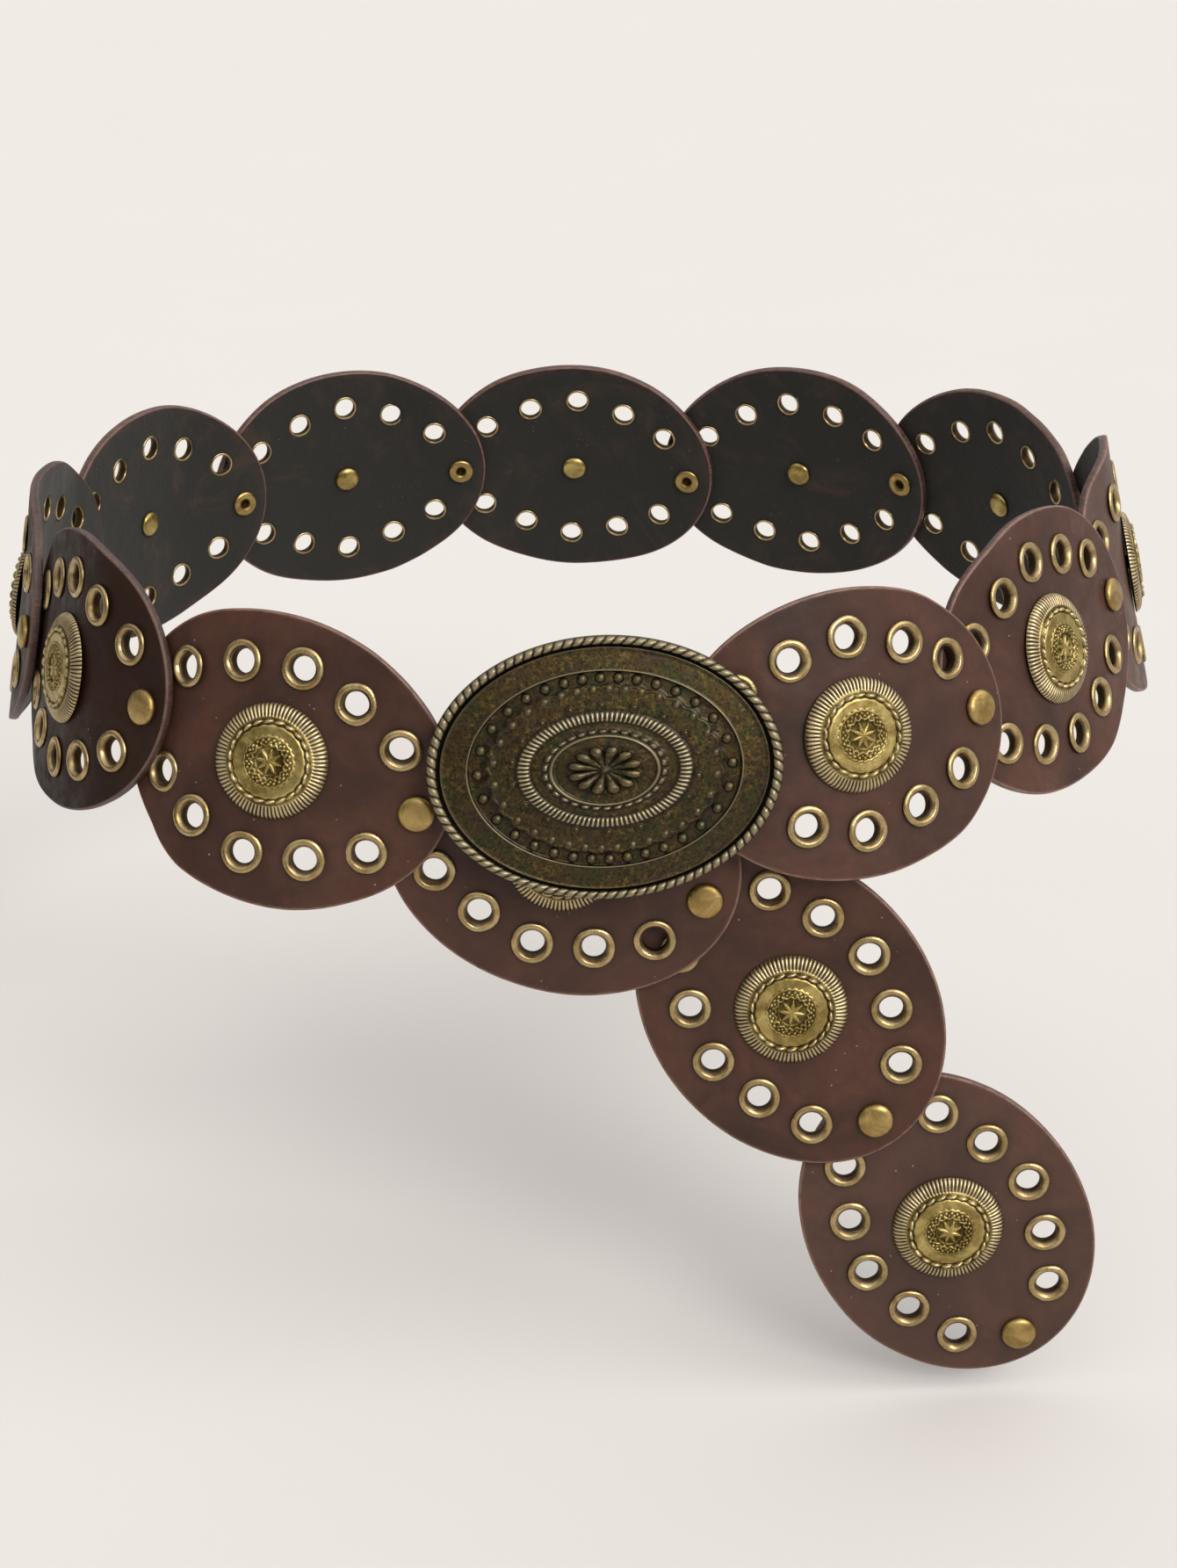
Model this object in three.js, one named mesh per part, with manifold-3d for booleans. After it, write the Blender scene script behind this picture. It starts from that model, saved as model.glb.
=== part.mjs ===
// Boho belt in its worn form: oval leather discs riveted into a ring with a hanging tail.
// Each disc has ten brass grommets and a round brass concho, and a cast oval buckle closes the ring.
// Millimetres. +X runs along the front to the wearer's left, +Y to the back, +Z up.
// The origin is the middle of the waist that the ring goes round.
import * as THREE from 'three';
import { mergeVertices } from 'three/addons/utils/BufferGeometryUtils.js';
import Module from 'manifold-3d';

const wasm = await Module();
wasm.setup();

const { degToRad } = THREE.MathUtils;

// Driving dimensions of a leather disc, drawn flat
const pitch = 70;
const discLength = 85;
const discHeight = 67.4;
const leather = 2.2;
const gap = 0.3;
const bendLines = [7, 20.5];
const leanZone = { from: 14, to: 27 };
const tipSteps = 4;

// Grommets of one quarter of a disc, from the rivet round to the top
const grommetPlaces = [
  { along: 27, across: 13 },
  { along: 14.1, across: 19.2 },
  { along: 0, across: 22.6 },
];
const flangeCrest = 0.7;

// Openings as rings from the outer face to the inner one, `out` being the height over the inner face
const openingSides = 6;
const grommetRings = [
  { radius: 4.9, out: leather },
  { radius: 3.8, out: leather + flangeCrest },
  { radius: 2.8, out: 0 },
];
const postHoleRings = [
  { radius: 2.4, out: leather },
  { radius: 2.4, out: 0 },
];

// A disc's leading end lies on the grommet flanges of the next disc's trailing end
const layerStep = leather + flangeCrest + gap;

// Round metal pieces: profiles from the top of the axis to its bottom.
// The leather's outer face is at z = 0, and the last pairs lie behind its inner face.
const postRadius = 1.7;
const conchoProfile = [
  { radius: 0, z: 4.4 },
  { radius: 6.4, z: 3.3 },
  { radius: 7.6, z: 2.4 },
  { radius: 13.5, z: 1.4 },
  { radius: 13.5, z: gap },
  { radius: postRadius, z: gap },
  { radius: postRadius, z: -leather - gap },
  { radius: 3.65, z: -leather - gap },
  { radius: 3.2, z: -leather - 1.5 },
  { radius: 0, z: -leather - 1.7 },
];
const rivetHead = [
  { radius: 0, z: 2.3 },
  { radius: 3.2, z: 1.7 },
  { radius: 4.25, z: gap },
  { radius: postRadius, z: gap },
];
const rivetBack = { radius: 3.7, depth: 0.9 };
const roundSides = { concho: 10, rivet: 8, buckle: 32, post: 10 };

// Cast relief from the middle of the buckle to its edge: share of the half axes, and height
const buckleRelief = [
  { share: 0, height: 6.6 },
  { share: 0.2, height: 6.1 },
  { share: 0.24, height: 5.2 },
  { share: 0.37, height: 5.1 },
  { share: 0.42, height: 5.7 },
  { share: 0.48, height: 4.9 },
  { share: 0.7, height: 4.1 },
  { share: 0.76, height: 4.5 },
  { share: 0.8, height: 3.7 },
  { share: 0.91, height: 3.1 },
  { share: 0.955, height: 3.9 },
  { share: 1, height: 2.4 },
];
const buckle = { halfWidth: 40.5, halfHeight: 30.1, yaw: -2, roll: -4, clearance: 0.6, seating: 1.5 };
const buckleFromPost = { along: -23.4, across: 0.8 };
const postFlange = { radius: 3.4, depth: 1 };
const hook = { radius: 1.9, pastLeather: 3 };

// Chain order runs from the buckle round the wearer's left, back and right, then down the tail.
// In degrees, for a disc's trailing and leading half: bend curls the half round the waist, and lean
// turns its end about the disc's length. Swing turns a disc on the rivet of the disc before it.
const chain = [
  { place: 'front_left', bend: [18.25, 17.5], lean: [0, -3.5], swing: 0 },
  { place: 'side_left_front', bend: [11.5, 7.5], lean: [-3, 1], swing: 14 },
  { place: 'side_left', bend: [24, 25], lean: [-3, 3], swing: -5.5 },
  { place: 'back_left', bend: [15.5, 15.5], lean: [4, -1.5], swing: 15.5 },
  { place: 'back_left_middle', bend: [14.5, 10.5], lean: [-1, -2], swing: -2.5 },
  { place: 'back_middle', bend: [11.5, 9.5], lean: [0, 1], swing: 13.5 },
  { place: 'back_right_middle', bend: [13, 14], lean: [-4, 1], swing: -1 },
  { place: 'back_right', bend: [26, 9], lean: [-2, 1.5], swing: 6 },
  { place: 'side_right', bend: [17.5, 20], lean: [5, -1.5], swing: 4.5 },
  { place: 'side_right_front', bend: [9, 22.75], lean: [0.75, -3], swing: 6 },
  { place: 'front_right', bend: [27.5, 12.25], lean: [6.5, 6.25], swing: -4.75 },
  { place: 'under_buckle', bend: [0.75, 0.75], lean: [0, 0], swing: 1 },
  { place: 'tail_upper', bend: [-0.5, -0.5], lean: [0, 0], swing: -35.5 },
  { place: 'tail_end', bend: [3.25, 3.25], lean: [0, 0], swing: -4 },
];
const firstDisc = { position: [64.6, -114, 0.4], turn: [74.7, 20.6, 5.8] };
const hooked = { place: 'under_buckle', grommet: { along: -14.1, across: 19.2 } };

const leatherMaterial = new THREE.MeshStandardMaterial({ color: 0x4f332d, roughness: 0.55, metalness: 0 });
const brassMaterial = new THREE.MeshStandardMaterial({ color: 0xa98a52, roughness: 0.35, metalness: 1 });
const bronzeMaterial = new THREE.MeshStandardMaterial({ color: 0x6b5a3a, roughness: 0.45, metalness: 1 });

// A closed geometry as a solid that can be joined and cut
function toSolid(geometry, matrix = new THREE.Matrix4()) {
  const bare = geometry.clone();
  bare.deleteAttribute('normal');
  bare.deleteAttribute('uv');
  bare.applyMatrix4(matrix);
  const merged = mergeVertices(bare, 1e-4);
  const corners = merged.index.array;
  const kept = [];
  for (let i = 0; i < corners.length; i += 3) {
    const triangle = [corners[i], corners[i + 1], corners[i + 2]];
    if (new Set(triangle).size === 3) kept.push(...triangle);
  }
  return new wasm.Manifold(new wasm.Mesh({
    numProp: 3,
    vertProperties: new Float32Array(merged.attributes.position.array),
    triVerts: new Uint32Array(kept),
  }));
}

function toGeometry(solid) {
  const mesh = solid.getMesh();
  const geometry = new THREE.BufferGeometry();
  geometry.setAttribute('position', new THREE.BufferAttribute(mesh.vertProperties, 3));
  geometry.setIndex(new THREE.BufferAttribute(mesh.triVerts, 1));
  geometry.computeVertexNormals();
  return geometry;
}

// How far a disc's leather leans about its length: not at all under the concho, fully at its ends
function leanAt(lean, along) {
  const share = (Math.abs(along) - leanZone.from) / (leanZone.to - leanZone.from);
  return THREE.MathUtils.clamp(share, 0, 1) * degToRad(lean);
}

// Where a point drawn flat at `along` and `across` from the disc's middle lies on the curled leather,
// `out` from its inner face. A disc's frame has x along it, y across it and z out of its outer face.
function curledPoint(curl, along, across, out) {
  const side = along < 0 ? -1 : 1;
  const half = along < 0 ? 0 : 1;
  const reach = Math.abs(along);
  const turnPerLine = degToRad(curl.bend[half]) / bendLines.length;
  const lean = leanAt(curl.lean[half], along);
  const height = across * Math.sin(lean) + out * Math.cos(lean);
  let x = 0;
  let z = 0;
  let turn = 0;
  let from = 0;
  for (const line of bendLines.filter((place) => place < reach)) {
    x += (line - from) * Math.cos(turn);
    z -= (line - from) * Math.sin(turn);
    turn += turnPerLine;
    from = line;
  }
  x += (reach - from) * Math.cos(turn);
  z -= (reach - from) * Math.sin(turn);
  const mitre = bendLines.includes(reach) ? turnPerLine / 2 : 0;
  const depth = height / Math.cos(mitre);
  return {
    x: side * (x + depth * Math.sin(turn + mitre)),
    y: across * Math.cos(lean) - out * Math.sin(lean),
    z: z + depth * Math.cos(turn + mitre),
    turn: side * turn,
    lean,
  };
}

// Matrix of a frame that stands on the leather with z along its normal
function seat(curl, { along, across = 0 }, out = leather) {
  const { x, y, z, turn, lean } = curledPoint(curl, along, across, out);
  const matrix = new THREE.Matrix4().makeRotationY(turn);
  return matrix.multiply(new THREE.Matrix4().makeRotationX(lean)).setPosition(x, y, z);
}

function cylinder(radius, low, high, sides) {
  const geometry = new THREE.CylinderGeometry(radius, radius, high - low, sides);
  geometry.rotateX(Math.PI / 2);
  geometry.translate(0, 0, (low + high) / 2);
  return geometry;
}

// Round piece turned about z from a profile that starts and ends on the axis, top first
function turned(profile, sides) {
  const points = profile.map(({ radius, z }) => new THREE.Vector2(radius, z)).reverse();
  const geometry = new THREE.LatheGeometry(points, sides);
  geometry.rotateX(Math.PI / 2);
  return geometry;
}

// Where the edge of a flat disc has its points, from the leading tip to the trailing tip
function edgeStations() {
  const halfLength = discLength / 2;
  const outerLine = Math.max(...bendLines);
  const tipAngle = Math.acos(outerLine / halfLength);
  const tip = Array.from({ length: tipSteps }, (_, i) => halfLength * Math.cos((i / tipSteps) * tipAngle));
  const half = [...tip, ...bendLines.toReversed()];
  return [...half, 0, ...half.map((along) => -along).toReversed()];
}

// Outline of the flat disc between two stations, anticlockwise as seen from outside
function outlineBetween(low, high) {
  const edgeHeight = (along) => (discHeight / 2) * Math.sqrt(1 - (2 * along / discLength) ** 2);
  const upper = edgeStations()
    .filter((along) => along >= low && along <= high)
    .map((along) => new THREE.Vector2(along, edgeHeight(along)));
  const lower = upper.filter(({ y }) => y > 0).map(({ x, y }) => new THREE.Vector2(x, -y)).reverse();
  return [...upper, ...lower];
}

function allOpenings() {
  const grommets = grommetPlaces.flatMap(({ along, across }) => {
    const columns = along === 0 ? [0] : [along, -along];
    const spots = columns.flatMap((x) => [{ along: x, across }, { along: x, across: -across }]);
    return spots.map((spot) => ({ ...spot, rings: grommetRings }));
  });
  const posts = [-pitch / 2, 0, pitch / 2].map((along) => ({ along, across: 0, rings: postHoleRings }));
  return [...grommets, ...posts];
}

function ringPoints({ along, across }, { radius }) {
  return Array.from({ length: openingSides }, (_, i) => {
    const angle = (2 * Math.PI * i) / openingSides;
    return new THREE.Vector2(along + radius * Math.cos(angle), across + radius * Math.sin(angle));
  });
}

// Leather disc with its grommets set in it, as one closed skin. It is drawn flat, strip by strip
// between the bend lines, and every point is laid on the curl. Each grommet is a raised flange
// that falls to the leather outside and into the bore inside.
function discGeometry(curl) {
  const corners = [];
  const lay = (point, out) => {
    const { x, y, z } = curledPoint(curl, point.x, point.y, out);
    return new THREE.Vector3(x, y, z);
  };
  const addFace = (contour, holes, out) => {
    const flat = [contour, ...holes].flat();
    for (const triangle of THREE.ShapeUtils.triangulateShape(contour, holes)) {
      const points = triangle.map((i) => flat[i]);
      const facesOut = THREE.ShapeUtils.area(points) > 0;
      if (facesOut !== out > 0) points.reverse();
      corners.push(...points.map((point) => lay(point, out)));
    }
  };
  const addWall = (upper, upperOut, lower, lowerOut) => {
    upper.forEach((point, i) => {
      const next = (i + 1) % upper.length;
      const [a, b] = [lay(point, upperOut), lay(upper[next], upperOut)];
      const [c, d] = [lay(lower[next], lowerOut), lay(lower[i], lowerOut)];
      corners.push(a, b, c, a, c, d);
    });
  };

  const lines = [...bendLines.map((line) => -line).toReversed(), ...bendLines];
  const limits = [-discLength / 2, ...lines, discLength / 2];
  const openings = allOpenings();
  limits.slice(1).forEach((high, i) => {
    const low = limits[i];
    const inside = openings.filter(({ along }) => along > low && along < high);
    const contour = outlineBetween(low, high);
    addFace(contour, inside.map((opening) => ringPoints(opening, opening.rings[0])), leather);
    addFace(contour, inside.map((opening) => ringPoints(opening, opening.rings.at(-1))), 0);
  });
  for (const opening of openings) {
    opening.rings.slice(1).forEach((lower, i) => {
      const upper = opening.rings[i];
      addWall(ringPoints(opening, upper), upper.out, ringPoints(opening, lower), lower.out);
    });
  }
  const edge = outlineBetween(-discLength / 2, discLength / 2).reverse();
  addWall(edge, leather, edge, 0);
  const geometry = new THREE.BufferGeometry().setFromPoints(corners);
  geometry.computeVertexNormals();
  return geometry;
}

// Rivet through a stack of leather, its head outside and its flanged back inside
function rivetGeometry(stack) {
  const back = -stack - gap;
  return turned([
    ...rivetHead,
    { radius: postRadius, z: back },
    { radius: rivetBack.radius, z: back },
    { radius: rivetBack.radius, z: back - rivetBack.depth },
    { radius: 0, z: back - rivetBack.depth },
  ], roundSides.rivet);
}

// How far a frame's z axis runs from its origin until it is well inside the buckle
function reachIntoBuckle(matrix) {
  const start = new THREE.Vector3().setFromMatrixPosition(matrix);
  const axis = new THREE.Vector3(0, 0, 1).transformDirection(matrix);
  return (buckle.seating - start.z) / axis.z;
}

// Domed oval casting with a flanged post behind one end and a plain hook behind the other.
// Both matrices give a leather's outer face in the buckle's frame.
function buckleGeometry(postSeat, hookSeat) {
  const front = buckleRelief.map(({ share, height }) => ({ radius: share, z: height }));
  const oval = turned([...front, { radius: 1, z: 0 }, { radius: 0, z: 0 }], roundSides.buckle);
  oval.scale(buckle.halfWidth, buckle.halfHeight, 1);

  const behind = -leather - gap;
  const post = cylinder(postRadius, behind - postFlange.depth, reachIntoBuckle(postSeat), roundSides.post);
  const flange = cylinder(postFlange.radius, behind - postFlange.depth, behind, roundSides.post);
  const hookEnd = -leather - hook.pastLeather;
  const hookPeg = cylinder(hook.radius, hookEnd, reachIntoBuckle(hookSeat), roundSides.post);
  const casting = toSolid(oval)
    .add(toSolid(post, postSeat))
    .add(toSolid(flange, postSeat))
    .add(toSolid(hookPeg, hookSeat));
  return toGeometry(casting);
}

function namedMesh(name, geometry, material) {
  const mesh = new THREE.Mesh(geometry, material);
  mesh.name = name;
  return mesh;
}

// Frame on a disc's leather, for a metal piece or the next disc
function addStation(disc, curl, along, out) {
  const station = new THREE.Group();
  station.applyMatrix4(seat(curl, { along }, out));
  disc.add(station);
  return station;
}

// Empty disc frame placed so that its trailing rivet hole is at its parent's origin
function addDiscFrame(parent, curl) {
  const disc = new THREE.Group();
  disc.applyMatrix4(seat(curl, { along: -pitch / 2 }, 0).invert());
  parent.add(disc);
  return disc;
}

// Leather, concho and leading rivet of one disc. A row of the chain is also the disc's curl.
function furnishDisc(disc, link, isLast) {
  disc.add(namedMesh(`disc_${link.place}`, discGeometry(link), leatherMaterial));
  const concho = namedMesh(`concho_${link.place}`, turned(conchoProfile, roundSides.concho), brassMaterial);
  addStation(disc, link, 0, leather).add(concho);
  const stack = isLast ? leather : leather + layerStep;
  const rivet = namedMesh(`rivet_${link.place}`, rivetGeometry(stack), brassMaterial);
  addStation(disc, link, pitch / 2, leather).add(rivet);
}

function beltGroup() {
  const belt = new THREE.Group();
  const discs = new Map();
  let parent = belt;
  chain.forEach((link, index) => {
    const disc = index === 0 ? new THREE.Group() : addDiscFrame(parent, link);
    if (index === 0) {
      disc.position.set(...firstDisc.position);
      disc.rotation.set(...firstDisc.turn.map(degToRad));
      belt.add(disc);
    }
    furnishDisc(disc, link, index === chain.length - 1);
    discs.set(link.place, { disc, link });
    parent = addStation(disc, link, pitch / 2, -layerStep);
    if (index + 1 < chain.length) parent.rotateZ(degToRad(chain[index + 1].swing));
  });

  // The buckle sits outside the chain's first rivet hole and hooks into a grommet below it
  const first = discs.get(chain[0].place);
  const postStation = addStation(first.disc, first.link, -pitch / 2, leather);
  const frame = new THREE.Group();
  frame.position.set(buckleFromPost.along, buckleFromPost.across, buckle.clearance);
  frame.rotation.set(0, degToRad(buckle.yaw), degToRad(buckle.roll));
  postStation.add(frame);
  belt.updateMatrixWorld(true);
  const intoFrame = frame.matrixWorld.clone().invert();
  const postSeat = intoFrame.clone().multiply(postStation.matrixWorld);
  const below = discs.get(hooked.place);
  const hookSeat = intoFrame.multiply(below.disc.matrixWorld).multiply(seat(below.link, hooked.grommet));
  frame.add(namedMesh('buckle', buckleGeometry(postSeat, hookSeat), bronzeMaterial));
  return belt;
}

const belt = beltGroup();

export default belt;
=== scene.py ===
"""Boho belt in its worn ring: leather discs, brass grommets, conchos and rivets, and an oval buckle.

Sizes are in millimetres while a piece is made, and each mesh is laid down in metres.
A disc's frame has x along the belt, y up across it and z out of its outer face.
"""
import logging
import math
from dataclasses import dataclass, field
from enum import Enum, IntEnum
from functools import lru_cache
from typing import Callable, Optional, Sequence

import bpy
import numpy as np
from mathutils import Matrix, Vector
from mathutils.geometry import delaunay_2d_cdt


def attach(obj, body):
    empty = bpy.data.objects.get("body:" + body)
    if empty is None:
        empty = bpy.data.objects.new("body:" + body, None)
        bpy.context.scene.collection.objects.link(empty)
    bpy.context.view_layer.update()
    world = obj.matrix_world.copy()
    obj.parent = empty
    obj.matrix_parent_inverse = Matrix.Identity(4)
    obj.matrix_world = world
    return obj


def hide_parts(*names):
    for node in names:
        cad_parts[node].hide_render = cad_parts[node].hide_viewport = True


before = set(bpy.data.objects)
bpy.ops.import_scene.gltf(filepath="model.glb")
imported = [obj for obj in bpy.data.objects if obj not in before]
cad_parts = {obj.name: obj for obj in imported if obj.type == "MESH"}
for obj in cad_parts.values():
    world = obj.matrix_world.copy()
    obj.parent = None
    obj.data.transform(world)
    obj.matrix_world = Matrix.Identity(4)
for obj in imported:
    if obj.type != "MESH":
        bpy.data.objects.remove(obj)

MILLIMETRE = 0.001
TURN = 2 * math.pi

report = logging.getLogger("boho_belt")


# Numbers and frames


def smooth(low: float, high: float, value: np.ndarray) -> np.ndarray:
    """Soft step from 0 at low to 1 at high."""
    share = np.clip((value - low) / (high - low), 0.0, 1.0)
    return share * share * (3 - 2 * share)


def ridge(distance: np.ndarray, half_width: float | np.ndarray) -> np.ndarray:
    """Round-topped ridge: 1 on its line, 0 from half_width away."""
    return dome((distance / half_width) ** 2)


def moved(x: float, y: float, z: float) -> Matrix:
    """Frame moved along its own axes."""
    return Matrix.Translation((x, y, z))


def turned(axis: str, degrees: float) -> Matrix:
    """Frame turned about one of its own axes."""
    return Matrix.Rotation(math.radians(degrees), 4, axis)


def carried(points: np.ndarray, seat: Matrix) -> np.ndarray:
    """Points of a seat's own frame, in the frame that the seat stands in."""
    matrix = np.array(seat)
    return points @ matrix[:3, :3].T + matrix[:3, 3]


def around(count: int) -> np.ndarray:
    """Evenly spaced angles of one turn."""
    return np.arange(count) * TURN / count


def even_angles(wide: float, high: float, count: int) -> np.ndarray:
    """Angles on an ellipse at places that are evenly spaced along it.

    Args:
        wide: Its half axis along x.
        high: Its half axis along y.
        count: Number of places.

    Returns:
        The angles, anticlockwise from x.
    """
    fine = np.linspace(0, TURN, 4001)
    speed = np.hypot(wide * np.sin(fine), high * np.cos(fine))
    way = np.concatenate([[0], np.cumsum((speed[1:] + speed[:-1]) / 2)])
    return np.interp(np.linspace(0, way[-1], count, endpoint=False), way, fine)


def oval(angle: np.ndarray, wide: object, high: object, height: object) -> np.ndarray:
    """Points at the given angles of level ovals, by their half axes and heights."""
    return np.stack(np.broadcast_arrays(wide * np.cos(angle), high * np.sin(angle), height), axis=-1)


def dome(*squares: np.ndarray) -> np.ndarray:
    """Round-topped shape: 1 where the squares are 0, and 0 where they add up to 1 or more."""
    return np.sqrt(np.clip(1 - sum(squares), 0, 1))


def tint(code: str) -> tuple[float, float, float, float]:
    """Linear colour of a six-figure screen colour.

    Args:
        code: The colour as six hexadecimal figures.

    Returns:
        Red, green, blue and a full alpha, for a shader socket.
    """
    parts = [int(code[i:i + 2], 16) / 255 for i in (0, 2, 4)]
    linear = [c / 12.92 if c <= 0.04045 else ((c + 0.055) / 1.055) ** 2.4 for c in parts]
    return (*linear, 1.0)


# Meshes


@dataclass
class Skin:
    """Points, faces and per-point values of one piece while it is being made."""

    points: list = field(default_factory=list)
    faces: list = field(default_factory=list)
    finishes: list = field(default_factory=list)
    values: dict = field(default_factory=dict)
    count: int = 0

    def add(self, points: np.ndarray, faces: Sequence, finish: int = 0, **values: np.ndarray) -> int:
        """Adds points, with the faces between them.

        Args:
            points: Array of points, one in each row.
            faces: Corner numbers of each face, counted from the first of these points.
            finish: Material slot of these faces.
            values: Per-point values, by name.

        Returns:
            The number of the first added point in the whole skin.
        """
        first = self.count
        self.points.append(np.asarray(points, dtype=float))
        self.count += len(points)
        self.join(faces, finish, first)
        for name in set(self.values) | set(values):
            earlier = self.values.setdefault(name, [np.zeros(first)] if first else [])
            earlier.append(np.broadcast_to(values.get(name, 0.0), (len(points),)).astype(float))
        return first

    def join(self, faces: Sequence, finish: int = 0, first: int = 0) -> None:
        """Adds faces between points that are already there.

        Args:
            faces: Corner numbers of each face.
            finish: Material slot of these faces.
            first: Added to each corner number.
        """
        rows = (np.asarray(faces, dtype=int) + first).tolist() if len(faces) else []
        self.faces.extend(rows)
        self.finishes.extend([finish] * len(rows))

    def place(self, seat: Matrix) -> None:
        """Moves everything added so far into the seat's frame."""
        self.points = [carried(np.vstack(self.points), seat)]

    def piece(self, name: str, materials: Sequence[bpy.types.Material]) -> bpy.types.Object:
        """Turns the skin into a smooth-shaded object in metres.

        Args:
            name: Name of the piece.
            materials: One for each material slot.

        Returns:
            The object, linked to the scene and at rest on the belt.
        """
        mesh = bpy.data.meshes.new(name)
        mesh.from_pydata((np.vstack(self.points) * MILLIMETRE).tolist(), [], self.faces)
        for material in materials:
            mesh.materials.append(material)
        mesh.polygons.foreach_set("material_index", self.finishes)
        for label, parts in self.values.items():
            layer = mesh.attributes.new(label, "FLOAT", "POINT")
            layer.data.foreach_set("value", np.concatenate(parts).astype(np.float32))
        mesh.shade_smooth()
        mesh.update()
        piece = bpy.data.objects.new(name, mesh)
        bpy.context.scene.collection.objects.link(piece)
        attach(piece, "root")
        return piece


def band_faces(rows: int, columns: int) -> np.ndarray:
    """Faces of a closed band of rings, each ring above the one before as seen from outside.

    Args:
        rows: Number of rings.
        columns: Number of points in each ring, anticlockwise.

    Returns:
        Four corner numbers in each row.
    """
    ring, step = np.meshgrid(np.arange(rows - 1), np.arange(columns), indexing="ij")
    following = (step + 1) % columns
    low, high = ring * columns, (ring + 1) * columns
    corners = [low + step, low + following, high + following, high + step]
    return np.stack(corners, axis=-1).reshape(-1, 4)


def cap_faces(centre: int, ring: Sequence[int]) -> list[tuple[int, int, int]]:
    """Fan of faces from a centre point to an anticlockwise ring."""
    return [(centre, a, b) for a, b in zip(ring, [*ring[1:], ring[0]])]


def bridge_faces(low: int, high: int, count: int) -> list[tuple[int, int, int, int]]:
    """Faces from one anticlockwise ring up to another, by the number of each ring's first point."""
    steps = [(i, (i + 1) % count) for i in range(count)]
    return [(low + i, low + following, high + following, high + i) for i, following in steps]


def add_turned(skin: Skin, profile: Sequence[tuple[float, float]], sides: int, seat: Matrix,
               sway: Optional[Callable[[np.ndarray], np.ndarray]] = None, **values: object) -> None:
    """Adds a piece turned about z.

    Args:
        skin: The skin that takes it.
        profile: Radius and height pairs, from its lowest place round the outside to its top.
        sides: Points round each ring.
        seat: Where it goes in the skin's frame.
        sway: Factor on the radius for each angle, for pieces that aren't quite round.
        values: Per-point values, one number or one for each pair of the profile.
    """
    angles = around(sides)
    factor = sway(angles) if sway else 1.0
    rings = [oval(angles, radius * factor, radius * factor, height) for radius, height in profile]
    spread = {name: np.repeat(np.broadcast_to(row, len(profile)), sides) for name, row in values.items()}
    skin.add(carried(np.vstack(rings), seat), band_faces(len(profile), sides), **spread)


# Finishes


class Nodes:
    """Node tree that is being filled, with a short call for each kind of node that it takes."""

    def __init__(self, tree: bpy.types.NodeTree) -> None:
        """Takes the tree."""
        self.tree = tree

    def feed(self, socket: bpy.types.NodeSocket, value: object) -> None:
        """Fills a socket.

        Args:
            socket: The socket.
            value: Another socket to link it to, or a number or colour to set it to.
        """
        if isinstance(value, bpy.types.NodeSocket):
            self.tree.links.new(value, socket)
        else:
            socket.default_value = value

    def node(self, kind: str, output: object, inputs: dict, **settings: object) -> bpy.types.NodeSocket:
        """Adds a node.

        Args:
            kind: Its type, without the words that all of them begin with.
            output: Name or number of the output that is wanted.
            inputs: What goes into each of its sockets.
            settings: What the node itself is set to.

        Returns:
            The output socket.
        """
        node = self.tree.nodes.new("ShaderNode" + kind)
        for name, value in settings.items():
            setattr(node, name, value)
        for name, value in inputs.items():
            self.feed(node.inputs[name], value)
        return node.outputs[output]

    def sum(self, first: object, second: object) -> bpy.types.NodeSocket:
        """Sum of two values."""
        return self.node("Math", 0, {0: first, 1: second}, operation="ADD")

    def ramp(self, value: bpy.types.NodeSocket, low: float, high: float, start: float = 0.0,
             end: float = 1.0, kind: str = "LINEAR") -> bpy.types.NodeSocket:
        """Value carried from one range to another, and held outside it.

        Args:
            value: The value.
            low: Start of its range.
            high: End of its range.
            start: What low becomes.
            end: What high becomes.
            kind: How it goes from one to the other.

        Returns:
            A socket with the carried value.
        """
        inputs = {"Value": value, "From Min": low, "From Max": high, "To Min": start, "To Max": end}
        return self.node("MapRange", "Result", inputs, interpolation_type=kind)


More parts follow.
